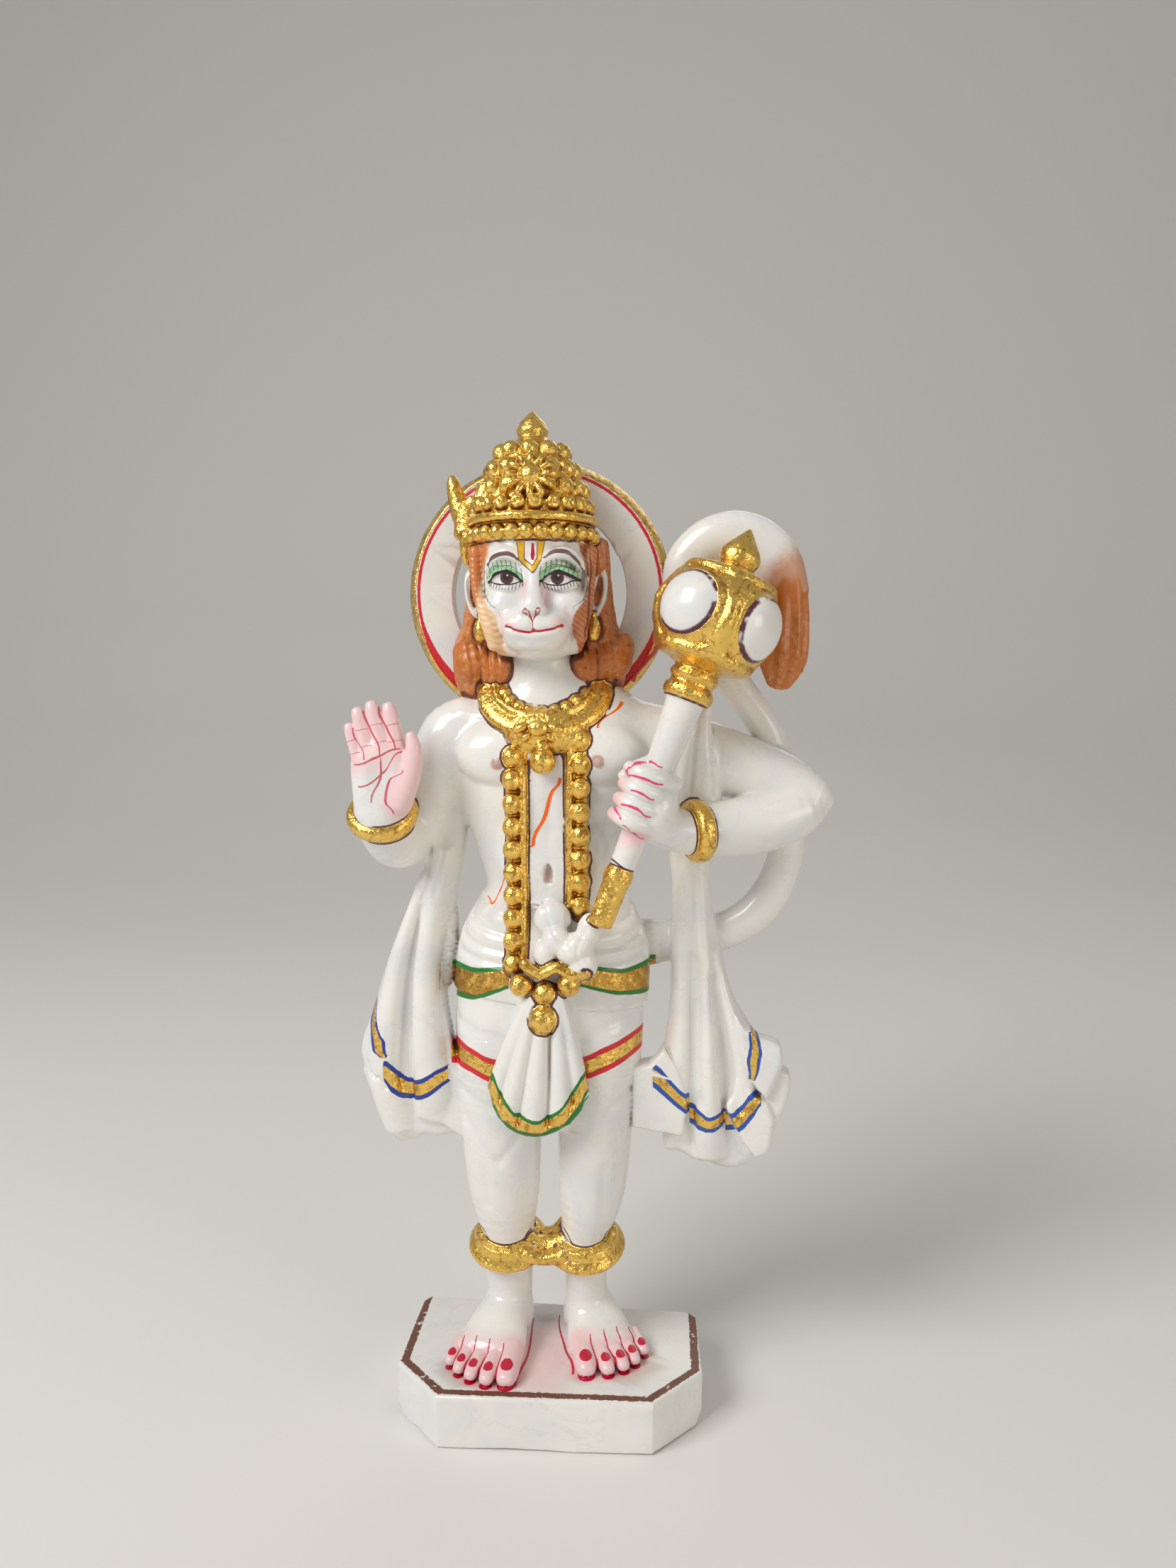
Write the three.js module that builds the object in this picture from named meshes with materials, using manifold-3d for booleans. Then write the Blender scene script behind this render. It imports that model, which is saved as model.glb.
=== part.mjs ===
// A standing Hanuman carved with its plinth from one block of white marble, then painted and gilded.
// Millimetres, +Z up, the figure faces -Y. The origin is the middle of the plinth's underside.
import * as THREE from "three";
import { mergeVertices } from "three/addons/utils/BufferGeometryUtils.js";
import Module from "manifold-3d";

// Driving sizes.
const FIGURE_HEIGHT = 289; // soles to the tip of the crown
const PLINTH_WIDTH = 94;
const PLINTH_DEPTH = 54;
const PLINTH_HEIGHT = 16.5;
const PLINTH_FRONT_CORNER = 15; // cut off along the front edge
const PLINTH_SIDE_CORNER = 17; // and along the sides
const PLINTH_BACK_CORNER = 3;
const PLINTH_BACK_SKEW = 5; // the sawn back edge runs further back on the figure's right
const PLINTH_WORN_EDGE = 0.9;

// The carver's grid: the figure is laid out on 289 steps from its soles to the tip of its crown.
// Every number below this line is in grid steps: x to the figure's left, y to its back, z up from the soles.
const GRID_STEPS = 289;
const GRID = FIGURE_HEIGHT / GRID_STEPS;

// The crown and the halo sit on the head, and the neck reaches up into it.
const HEAD = { x: -3.4, z: 236 };
const CROWN = { x: HEAD.x - 1.2, y: 2, brim: HEAD.z + 15 };
const HALO = { at: [HEAD.x - 1.1, 16.4, HEAD.z + 0.6], outside: 41, inside: 27, half: 3.3 };

const FRONT = new THREE.Vector3(0, -1, 0);
const UP = new THREE.Vector3(0, 0, 1);

const wasm = await Module();
wasm.setup();

// Turns a closed geometry into a solid that can be joined and cut.
function solidOf(geometry) {
  const plain = geometry.clone();
  plain.deleteAttribute("normal");
  plain.deleteAttribute("uv");
  const merged = mergeVertices(plain, 1e-4);
  return new wasm.Manifold(
    new wasm.Mesh({
      numProp: 3,
      vertProperties: new Float32Array(merged.attributes.position.array),
      triVerts: new Uint32Array(merged.index.array),
    }),
  );
}

// Smoothly fills in rows between the given ones, each row a list of numbers.
function filledRows(rows, steps) {
  const filled = [];
  for (let i = 0; i < rows.length - 1; i++) {
    const [a, b, c, d] = [rows[Math.max(i - 1, 0)], rows[i], rows[i + 1], rows[Math.min(i + 2, rows.length - 1)]];
    for (let s = 0; s < steps; s++) {
      const t = s / steps;
      filled.push(
        b.map(
          (q, n) =>
            q +
            0.5 * t * (c[n] - a[n] + t * (2 * a[n] - 5 * q + 4 * c[n] - d[n] + t * (3 * (q - c[n]) + d[n] - a[n]))),
        ),
      );
    }
  }
  filled.push(rows.at(-1));
  return filled;
}

// A limb: oval sections strung on a line. A row holds the centre's x, y and z, then the section's half width
// and half depth, which lies towards facing. Flutes are folds that run along the limb, and a row's sixth number
// says how deep they are there.
function limb(rows, { sides = 8, steps = 1, facing = FRONT, flutes = 0, fold = 0 } = {}) {
  const sections = filledRows(rows.map(([x, y, z, wide, deep, depth = 1]) => [x, y, z, wide, deep, depth]), steps);
  const centres = sections.map(([x, y, z]) => new THREE.Vector3(x, y, z));
  const position = [];
  sections.forEach(([, , , wide, deep, depth], i) => {
    const along = centres[Math.min(i + 1, centres.length - 1)].clone().sub(centres[Math.max(i - 1, 0)]).normalize();
    const across = along.clone().cross(facing).normalize();
    const out = across.clone().cross(along).normalize();
    for (let k = 0; k < sides; k++) {
      const angle = (2 * Math.PI * k) / sides;
      const swell = 1 + depth * fold * Math.cos(flutes * angle);
      const p = centres[i]
        .clone()
        .addScaledVector(across, wide * swell * Math.cos(angle))
        .addScaledVector(out, deep * swell * Math.sin(angle));
      position.push(p.x, p.y, p.z);
    }
  });
  const last = sections.length - 1;
  for (const end of [0, last]) position.push(centres[end].x, centres[end].y, centres[end].z);
  const [firstPole, lastPole] = [sections.length * sides, sections.length * sides + 1];
  const index = [];
  for (let k = 0; k < sides; k++) {
    const next = (k + 1) % sides;
    for (let i = 0; i < last; i++) {
      const [a, b, c, d] = [i * sides + k, i * sides + next, (i + 1) * sides + next, (i + 1) * sides + k];
      index.push(a, c, b, a, d, c);
    }
    index.push(firstPole, k, next, lastPole, last * sides + next, last * sides + k);
  }
  const geometry = new THREE.BufferGeometry();
  geometry.setAttribute("position", new THREE.Float32BufferAttribute(position, 3));
  geometry.setIndex(index);
  const made = solidOf(geometry);
  if (made.volume() > 0) return made;
  geometry.setIndex(index.reverse());
  return solidOf(geometry);
}

// An egg-shaped lump, tipped by lean about the y axis.
function lump(at, radii, { round = 6, high = 4, lean = 0 } = {}) {
  const egg = new THREE.SphereGeometry(1, round, high).rotateX(Math.PI / 2).scale(...radii).rotateY(lean);
  return solidOf(egg.translate(...at));
}

// A form turned on an axis that starts at foot and points along axis. Profile pairs are radius and height.
function turned(profile, foot, axis, around = 14) {
  const lathe = new THREE.LatheGeometry(
    profile.map(([r, h]) => new THREE.Vector2(r, h)),
    around,
  );
  const turn = new THREE.Quaternion().setFromUnitVectors(new THREE.Vector3(0, 1, 0), axis.clone().normalize());
  return solidOf(lathe.applyQuaternion(turn).translate(foot.x, foot.y, foot.z));
}

// A round bar bent into an oval ring, tipped forwards by tip and sideways by lean.
function hoop(at, wide, deep, bar, height, { tip = 0, lean = 0, around = 14, sides = 4 } = {}) {
  const ring = new THREE.TorusGeometry(1, 0.5, sides, around);
  const place = ring.attributes.position;
  for (let i = 0; i < place.count; i++) {
    const [x, y] = [place.getX(i), place.getY(i)];
    const reach = Math.hypot(x, y);
    const out = (reach - 1) * 2 * bar;
    place.setXYZ(i, (x / reach) * (wide + out), (y / reach) * (deep + out), place.getZ(i) * 2 * height);
  }
  return solidOf(ring.rotateX(tip).rotateY(lean).translate(...at));
}

const joined = (solids) => solids.reduce((whole, next) => whole.add(next));
const span = (count, from, to) => Array.from({ length: count }, (_, i) => from + ((to - from) * i) / (count - 1));
const between = (a, b, t) => a.map((q, n) => q + (b[n] - q) * t);

// The plinth, in millimetres: a sawn slab with its front corners cut off.
function plinth() {
  const [side, front] = [PLINTH_WIDTH / 2, PLINTH_DEPTH / 2];
  const outline = new THREE.Shape(
    [
      [-side, -front + PLINTH_SIDE_CORNER],
      [-side + PLINTH_FRONT_CORNER, -front],
      [side - PLINTH_FRONT_CORNER, -front],
      [side, -front + PLINTH_SIDE_CORNER],
      [side - 1, front - PLINTH_BACK_CORNER - PLINTH_BACK_SKEW / 2],
      [side - 1 - PLINTH_BACK_CORNER, front - PLINTH_BACK_SKEW / 2],
      [-side + PLINTH_BACK_CORNER, front + PLINTH_BACK_SKEW / 2],
      [-side + 1, front + PLINTH_BACK_SKEW / 2 - PLINTH_BACK_CORNER],
    ].map(([x, y]) => new THREE.Vector2(x, y)),
  );
  const slab = new THREE.ExtrudeGeometry(outline, {
    depth: PLINTH_HEIGHT - 2 * PLINTH_WORN_EDGE,
    bevelThickness: PLINTH_WORN_EDGE,
    bevelSize: PLINTH_WORN_EDGE,
    bevelOffset: -PLINTH_WORN_EDGE,
    bevelSegments: 1,
  });
  return solidOf(slab.translate(0, 0, PLINTH_WORN_EDGE));
}

// A foot and its five toes. Heel, ball and toe tips are x, y pairs on the plinth's top.
function foot({ heel, ball, tips, roots }) {
  const body = limb(
    [
      [heel[0], heel[1] + 2, 4.6, 5, 6.6],
      [...between(heel, ball, 0.12), 6, 7.6, 8.4],
      [...between(heel, ball, 0.45), 7, 8.6, 7.6],
      [...between(heel, ball, 0.8), 4.4, 11, 5.6],
      [...ball, 3.4, 11.6, 4.6],
    ],
    { facing: UP },
  );
  const toes = tips.map(([x, y], i) => {
    const thick = i === 0 ? 3.5 : 2.8 - 0.18 * i;
    const [bx, by] = between(roots[0], roots[1], i / 4);
    return limb(
      [
        [bx, by, 3.6, thick, thick],
        [...between([bx, by], [x, y], 0.75), 2.5, thick, thick * 0.9],
        [x, y, 2, thick * 0.6, thick * 0.6],
      ],
      { facing: UP, sides: 4 },
    );
  });
  return joined([body, ...toes]);
}

function feet() {
  const right = {
    heel: [-14.2, 14],
    ball: [-19, -8],
    tips: [[-12, -21.2], [-18, -21.4], [-23, -19.4], [-27, -16.4], [-30.2, -12.4]],
    roots: [[-11.5, -9], [-28.5, -4]],
  };
  const left = {
    heel: [9.6, 17],
    ball: [16.4, -3],
    tips: [[11.8, -14.6], [18.4, -14], [23, -11.8], [26.4, -8.4], [29, -3.2]],
    roots: [[10, -4], [25.5, 4]],
  };
  return joined([foot(right), foot(left)]);
}

function legs() {
  const leg = (ankle, calf, knee, slim) =>
    limb([
      [ankle, 10, 6, 7, 7],
      [ankle, 9.5, 19, 7.4 - slim, 7.6],
      [ankle - 0.3, 8.6, 26.6, 7.6 - slim, 8.4],
      [ankle - 0.2, 8.2, 29.6, 11.2, 12.2],
      [ankle - 0.3, 8.6, 32.6, 8 - slim, 9],
      [calf, 7, 52, 11.7 - slim, 12],
      [knee, 5, 68, 12.2 - slim, 12.4],
      [knee, 6, 92, 13.8 - slim, 14.4],
      [knee, 6, 110, 13, 13],
    ]);
  const clasp = lump([-2.2, 3.6, 29.6], [3.4, 3, 2.4]);
  return joined([leg(-14.4, -16, -16, 0), leg(10.2, 13, 13.4, 0.8), clasp]);
}

// The wrapped loincloth with its belt, its rolled waist folds and the pleated fall in front.
function loincloth() {
  const wrap = limb(
    [
      [-1.5, 6.5, 73, 23, 11],
      [-1.7, 6.3, 90, 28.2, 15],
      [-0.8, 6, 110.6, 29.4, 16.2],
      [-0.7, 6, 111.6, 31, 17.6],
      [-0.5, 6, 119.6, 31, 17.6],
      [-0.4, 6, 120.6, 29.4, 16.4],
      [-0.2, 6, 124, 31, 17.4],
      [0, 6, 127.6, 28.6, 15.8],
      [0.6, 6, 131.6, 29.6, 16.6],
      [1, 6, 135.6, 26.4, 14.6],
      [1.6, 6, 139.6, 26.6, 14.8],
      [1.9, 6, 145, 22.6, 12.8],
    ],
    { sides: 12 },
  );
  const fall = limb(
    [
      [0, -9.5, 118, 8.6, 3.6],
      [-1.6, -10.4, 98, 11.4, 4.4],
      [-2.4, -10.8, 85, 15, 4.8, 1.3],
      [-2.8, -10.8, 79, 13, 4.4, 1.6],
      [-3.4, -10.4, 74.6, 5, 3],
    ],
    { sides: 15, flutes: 5, fold: 0.1 },
  );
  const knot = [
    lump([1.4, -12.6, 133], [5, 4.4, 5.8], { lean: 0.5 }),
    lump([8.6, -13.6, 130], [5.6, 4.6, 4.4], { lean: -0.6 }),
    lump([3.6, -12.2, 124.6], [6.6, 4.4, 4.8], { lean: 0.3 }),
  ];
  return joined([wrap, fall, ...knot]);
}

function torso() {
  const trunk = limb(
    [
      [1.8, 6, 142, 22.8, 12.6],
      [2.2, 6, 150, 22.4, 12.6],
      [1.2, 6, 163, 25.4, 13.8],
      [0.6, 6, 176, 30.6, 15.4],
      [0.4, 6.4, 189, 34, 15.4],
      [0, 7, 198, 32, 13.4],
      [-0.8, 7, 203.6, 22, 11.6],
      [-2.4, 6, 208.6, 13.2, 10.4],
      [-3.4, 4, 215, 9.1, 9.2],
      [HEAD.x, 3, HEAD.z - 12, 9.2, 9.6],
    ],
    { sides: 12 },
  );
  const chest = [-1, 1].map((side) => lump([side * 14.5 + 0.5, -3.6, 187.6], [14, 7, 9.4], { round: 8 }));
  return joined([trunk, ...chest]);
}

// The figure's left arm is bent out to the side, and its fist holds the mace.
function leftArm() {
  const upper = limb([
    [24, 6.6, 193, 9, 8.6],
    [31, 6.6, 192, 10.6, 9.4],
    [43, 6.4, 188, 11, 8.8],
    [56, 6, 184, 10.2, 8.4],
    [70, 5.2, 180, 8.2, 7.6],
    [79.4, 4.4, 175.6, 5.6, 6],
    [83, 4.2, 173.4, 2.6, 3],
  ]);
  const fore = limb([
    [82.6, 4.2, 174, 2.6, 3],
    [75, 2.8, 170.8, 7.6, 7.6],
    [64, -0.4, 167.6, 9, 8.2],
    [52, -4.4, 166.2, 8.4, 7.4],
    [47.8, -6, 165.8, 7.2, 6.8],
    [45.6, -6.8, 165.7, 9.4, 9],
    [42.4, -8.4, 165.4, 9.4, 9],
    [40.2, -9.2, 165.6, 6.8, 6.4],
    [34, -12.6, 168, 6.4, 6.4],
  ]);
  const palm = lump([32.6, -15, 172.4], [7, 7.6, 9.6], { lean: 0.3 });
  const fingers = span(4, 0, 1).map((t) => {
    const [x, , z] = between([29.2, 0, 183.2], [24.6, 0, 170], t);
    return limb(
      [
        [x + 6, -17, z - 2, 2.6, 2.8],
        [x, -22, z, 2.7, 2.9],
        [x - 6.6, -17, z + 2.4, 2.2, 2.2],
      ],
      { sides: 5 },
    );
  });
  const thumb = limb([[30, -13, 187, 2.4, 2.4], [24, -13, 187.6, 2.3, 2.3], [18.6, -13, 186.6, 1.2, 1.2]], { sides: 5 });
  return joined([upper, fore, palm, thumb, ...fingers]);
}

// The figure's right arm is bent up in front, and its open palm faces forwards.
function rightArm() {
  const upper = limb([
    [-26, 6.8, 198, 7.4, 8],
    [-31, 6.6, 193, 9.6, 9.2],
    [-35, 6, 182, 9.6, 9],
    [-39.4, 5, 171, 9.4, 9],
    [-43.6, 3.4, 163.6, 9, 9],
    [-46, 1, 160.6, 7.6, 7.6],
  ]);
  const fore = limb(
    [
      [-43.4, 6, 161.6, 8, 6.6],
      [-46.4, -1, 162, 9.8, 9.6],
      [-48.8, -8, 166.4, 8.4, 7.6],
      [-49, -9, 168, 10.6, 9.6],
      [-49.2, -10.6, 170.4, 10.6, 9.4],
      [-49.3, -11.6, 172, 7.4, 6],
    ],
    { facing: UP },
  );
  const palm = limb([
    [-49.4, -11.4, 167, 6.8, 5.6],
    [-48.6, -12.8, 173, 8.2, 5.2],
    [-47.6, -13.6, 180, 9.6, 4.4],
    [-48.6, -13.8, 187, 8.9, 3.6],
    [-49.4, -13.8, 191, 6.4, 2.8],
  ]);
  const fingers = [
    [[-54.6, -13.8, 185], [-57.8, -14, 196.6], 1.95],
    [[-51, -13.8, 186], [-55.2, -14.2, 201], 2.4],
    [[-46.8, -13.8, 187], [-51, -14.4, 202.8], 2.55],
    [[-42.8, -13.8, 187.6], [-46, -14.2, 202.4], 2.5],
  ].map(([root, tip, thick]) =>
    limb([[...root, thick, thick], [...between(root, tip, 0.8), thick, thick], [...tip, thick * 0.6, thick * 0.6]], {
      sides: 5,
    }),
  );
  const thumb = limb(
    [
      [-43, -14.6, 174, 3.8, 3.6],
      [-39.6, -15.6, 182, 3.2, 3],
      [-38.2, -16.2, 189.6, 2.5, 2.4],
      [-39, -16.4, 194, 1.5, 1.5],
    ],
    { sides: 5 },
  );
  return joined([upper, fore, palm, thumb, ...fingers]);
}

// The shawl hangs down on both sides in fluted tails that spread into ruffled hems.
function shawl() {
  const rightTail = limb(
    [
      [-37, 6.5, 163, 8.4, 8.2, 0.2],
      [-34.4, 6.5, 150, 7.4, 7, 0.8],
      [-40.6, 6.6, 126, 9.8, 6.6],
      [-45.2, 6.8, 104, 12.8, 6.8],
      [-46.4, 7, 90, 15, 7, 1.4],
      [-45, 7, 77, 14, 7, 1.8],
      [-44, 7, 67, 9, 5.4, 2],
    ],
    { sides: 15, flutes: 5, fold: 0.1 },
  );
  const rightHem = [lump([-54, 5.6, 87], [6, 6.4, 12], { lean: 0.2 }), lump([-33, 7, 80], [6, 5, 14])];
  const leftTail = limb(
    [
      [42.4, 7, 172, 6.8, 6.6, 0.3],
      [42.8, 7, 149, 6.5, 6.2, 0.8],
      [44.6, 7, 126, 8, 6.4],
      [45.8, 7, 113, 9.6, 6.8],
      [48.4, 7, 101, 14, 7.2],
      [50, 7, 90, 19, 7.4, 1.2],
      [50.4, 7, 78, 19.6, 7.4, 1.4],
      [51, 7, 66, 14.4, 6, 1.8],
      [52, 7, 60, 6, 4, 2],
    ],
    { sides: 18, flutes: 6, fold: 0.09 },
  );
  const leftHem = [
    lump([64.6, 6, 96], [7, 6, 10], { lean: -0.4 }),
    lump([66.6, 7, 82], [7, 6, 13], { lean: 0.25 }),
    lump([60, 6, 69.6], [9, 6.4, 9], { lean: 0.5 }),
    lump([34, 7, 77.6], [11, 5.6, 10.6], { lean: -0.3 }),
  ];
  const overArm = limb(
    [
      [46.6, -1, 202, 1.6, 1.6],
      [45.2, -1.2, 191, 4.4, 4],
      [44.6, 0, 176, 7, 4.4],
      [43, 4, 166, 7, 5],
    ],
    { sides: 6 },
  );
  return joined([rightTail, ...rightHem, leftTail, ...leftHem, overArm]);
}

function tail() {
  return limb(
    [
      [20, 13.6, 126.6, 7.6, 6],
      [44, 12.6, 129.6, 6.2, 5.2],
      [57, 12.4, 133.4, 5.9, 5],
      [67, 12, 143, 5.8, 5],
      [72.4, 12, 158, 5.3, 5],
      [71.6, 12, 176, 5.2, 5],
      [66, 12, 194, 5.1, 5],
      [56, 11.6, 208.6, 5, 5],
      [43, 11.2, 227, 6, 4.8],
      [40.2, 10.4, 242, 6.6, 4.8],
      [45, 9.6, 250, 6.8, 5],
      [53, 8.6, 253.6, 7, 5],
      [61.6, 8, 251.8, 7.2, 5],
      [68.2, 7.6, 245.4, 7, 5],
      [71.2, 7.4, 230, 6.6, 5.2],
      [72, 7.4, 214, 4.4, 4.6],
      [71.8, 7.4, 208, 1.6, 1.8],
    ],
    { sides: 7 },
  );
}

// The halo is a flat ring behind the head, bevelled round its gilded rim.
function halo() {
  const { at, outside, inside, half } = HALO;
  const rim = [
    [inside, -half],
    [outside - 2, -half],
    [outside, 0],
    [outside - 2, half],
    [inside, half],
    [inside, -half],
  ];
  return turned(rim, new THREE.Vector3(...at), new THREE.Vector3(0, 1, 0), 24);
}

function head() {
  const { x, z } = HEAD;
  return joined([
    limb(
      [
        [x, 1, z - 22, 7, 7],
        [x, -1.4, z - 17, 13, 11.6],
        [x - 0.2, 0.6, z - 4, 17.2, 16],
        [x - 0.4, 1.4, z + 4, 18.2, 16],
        [x - 0.8, 1.6, z + 16, 18, 16.4],
      ],
      { sides: 12 },
    ),
    lump([x + 0.4, -11.4, z - 11.6], [11.6, 9, 8.2], { round: 9, high: 6 }),
    limb([[x + 0.2, -14, z + 4.6, 1.9, 2], [x + 0.4, -19.6, z - 5, 3, 2.6], [x + 0.4, -17, z - 8, 2.4, 1.6]], {
      sides: 6,
    }),
    ...[-1, 1].map((side) => lump([x + side * 7.4, -13, z + 9.4], [6.4, 2.8, 2.6])),
    ...[-1, 1].map((side) => lump([x + 0.4 + side * 18.6, 3, z], [2.8, 3.6, 7.8], { lean: side * 0.2 })),
    ...[-1, 1].map((side) => lump([x + 0.4 + side * 16, -0.6, z - 10.6], [2.2, 2.6, 4.4], { round: 4, high: 3 })),
  ]);
}

// Long hair frames the face, spreads on the shoulders and falls behind.
function hair() {
  const lock = (side, x) =>
    limb(
      [
        [x + side * 17, 8, HEAD.z + 14, 4, 9],
        [x + side * 17.6, 8.4, HEAD.z + 2, 4.4, 9],
        [x + side * 18, 8.4, HEAD.z - 10, 6, 9],
        [x + side * 19.4, 8, 218.6, 8, 8.4],
        [x + side * 18.4, 8, 210, 8, 7.6],
        [x + side * 16, 9, 204, 6, 6],
      ],
      { sides: 8, flutes: 4, fold: 0.08 },
    );
  const behind = limb(
    [
      [-4, 10, HEAD.z + 20, 12, 8],
      [-4, 12, HEAD.z + 8, 18, 10],
      [-4, 12.4, HEAD.z - 6, 18.4, 10],
      [-3.6, 13.4, 216, 18, 9],
      [-3, 14, 202, 16, 7],
      [-3, 13, 196, 10, 4],
    ],
    { sides: 12, flutes: 6, fold: 0.04 },
  );
  return joined([lock(-1, -3.8), lock(1, -4), behind]);
}

// The crown is a tall gilded cap: a brim of beads under a ridge, rows of florets, and a big flower in front.
function crown() {
  const { x, y, brim } = CROWN;
  const band = limb(
    [
      [x, y, brim - 2.6, 17.8, 17.8, 0],
      [x, y, brim + 1.2, 20.8, 20.8],
      [x, y, brim + 4.4, 19.2, 19.2, 0.4],
      [x, y, brim + 6.4, 20.2, 20.2, 0],
      [x, y, brim + 7.6, 17, 17, 0],
    ],
    { sides: 22, flutes: 11, fold: 0.04 },
  );
  const cap = limb(
    [
      [x, y, brim + 5, 17, 17, 0],
      [x, y, brim + 11, 18.6, 18.6, 1.4],
      [x, y, brim + 14.6, 15, 15, 0.4],
      [x, y, brim + 18, 15.4, 15.4, 1.4],
      [x, y, brim + 20.6, 11.4, 11.4, 0.4],
      [x, y, brim + 24, 12.4, 12.4, 1.6],
      [x, y, brim + 27.6, 8, 8, 0.4],
      [x, y, brim + 29.4, 5.6, 5.6, 0],
      [x, y, brim + 32, 6, 6, 0],
      [x, y, brim + 38, 0.6, 0.6, 0],
    ],
    { sides: 12, flutes: 6, fold: 0.06 },
  );
  const flower = limb(
    [
      [x + 0.6, y - 10, brim + 17, 7, 7],
      [x + 0.6, y - 14, brim + 17.4, 8.6, 8.6],
      [x + 0.6, y - 15.4, brim + 17.6, 4.6, 4.6, 0],
      [x + 0.6, y - 17.6, brim + 17.8, 2.6, 2.6, 0],
    ],
    { sides: 12, flutes: 6, fold: 0.12, facing: UP },
  );
  const horn = limb(
    [
      [x - 18.4, y + 1, brim + 2, 3.4, 3],
      [x - 21.8, y + 1, brim + 9, 3, 2.3],
      [x - 23.8, y + 1, brim + 17.4, 2.2, 1.8],
      [x - 24.6, y + 1, brim + 20, 1.1, 1.1],
    ],
    { sides: 5 },
  );
  return joined([band, cap, flower, horn]);
}

// The mace leans on the shoulder: a staff with a gilded ferrule, collars, and a ribbed head with four white eggs.
const MACE = { foot: [15.5, -17.5, 138.4], tip: [58.8, -8, 253.4] };

function mace() {
  const foot = new THREE.Vector3(...MACE.foot);
  const axis = new THREE.Vector3(...MACE.tip).sub(foot);
  const share = axis.length() / 123;
  const profile = [
    [0, 0],
    [4, 1],
    [4.3, 17],
    [4.9, 48],
    [6.2, 70],
    [8.2, 73],
    [7, 75.4],
    [8.2, 77.6],
    [6.6, 80],
    [14.6, 82.4],
    [14.2, 86],
    [17.6, 91],
    [17.6, 100],
    [14.6, 104.6],
    [14.6, 108],
    [5, 111.6],
    [6.3, 114.4],
    [4.4, 117],
    [0, 123],
  ].map(([r, h]) => [r * share, h * share]);
  const staff = turned(profile, foot, axis, 9);
  const along = axis.clone().normalize();
  const across = along.clone().cross(FRONT).normalize();
  const out = across.clone().cross(along).normalize();
  const middle = foot.clone().addScaledVector(along, 95.6 * share);
  const eggs = [-36, 54, 144, 234].map((degrees) => {
    const turn = THREE.MathUtils.degToRad(degrees);
    const way = across.clone().multiplyScalar(Math.sin(turn)).addScaledVector(out, Math.cos(turn));
    const basis = new THREE.Matrix4().makeBasis(way, along.clone().cross(way), along);
    const egg = new THREE.SphereGeometry(1, 6, 5).rotateX(Math.PI / 2).scale(9, 9.4, 11.8);
    egg.applyMatrix4(basis).translate(...middle.clone().addScaledVector(way, 12.4 * share).toArray());
    return solidOf(egg);
  });
  return joined([staff, ...eggs]);
}

// The gilded collar, its hanging boss and the long garland of beads that falls to the belt.
function jewels() {
  const collar = hoop([-1, 1.6, 203], 16.4, 13.4, 4, 3.4, { tip: 0.62, around: 14 });
  const bib = lump([-0.6, -9.6, 194.6], [10.6, 3.8, 7], { round: 8 });
  const frontOf = (z) => -9.4 - 1.6 * Math.sin((Math.PI * (z - 118)) / 70) + 2.4 * Math.exp(-(((z - 150) / 16) ** 2));
  const strand = (x, count, top, low) => {
    const heights = span(2 * count + 1, top, low);
    return limb(
      heights.map((z, i) => [x, frontOf(z), z, i % 2 ? 3.4 : 1.8, i % 2 ? 3.2 : 2.2]),
      { sides: 4 },
    );
  };
  return joined([
    collar,
    bib,
    lump([-0.6, -12.6, 186.2], [4, 3.6, 4.4]),
    strand(-11, 11, 191.4, 118),
    strand(10.4, 8, 194, 142),
    ...[[-7.6, 115.6], [-1, 113.4], [5.6, 116]].map(([x, z]) => lump([x, -12.4, z], [4, 3.6, 3.5], { round: 5, high: 4 })),
    lump([-1, -14, 108.4], [4, 3.8, 4.6]),
  ]);
}

const figure = joined([
  feet(),
  legs(),
  loincloth(),
  torso(),
  leftArm(),
  rightArm(),
  shawl(),
  tail(),
  halo(),
  head(),
  hair(),
  crown(),
  mace(),
  jewels(),
]);
const whole = plinth().add(figure.scale([GRID, GRID, GRID]).translate([0, 0, PLINTH_HEIGHT]));

const carved = whole.getMesh();
const geometry = new THREE.BufferGeometry();
geometry.setAttribute("position", new THREE.BufferAttribute(new Float32Array(carved.vertProperties), 3));
geometry.setIndex(new THREE.BufferAttribute(carved.triVerts, 1));
const marble = new THREE.MeshStandardMaterial({ color: 0xefece4, roughness: 0.35, metalness: 0 });
const statue = new THREE.Mesh(geometry, marble);
statue.name = "hanuman_figure";

const group = new THREE.Group();
group.add(statue);

export default group;
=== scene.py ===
"""A carved, painted and gilded white marble Hanuman, standing on the plinth it was cut from.

The figure is one block of stone, so it is built as one mesh: forms are joined and cut in a carver's block, a
skin is drawn round what is left, and the gold and paint go on by how near each point is to a gilded form and
along brush strokes. Figure sizes are in millimetres on the carver's grid: x to the figure's left, y to its
back, z up from its soles.
"""

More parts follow.
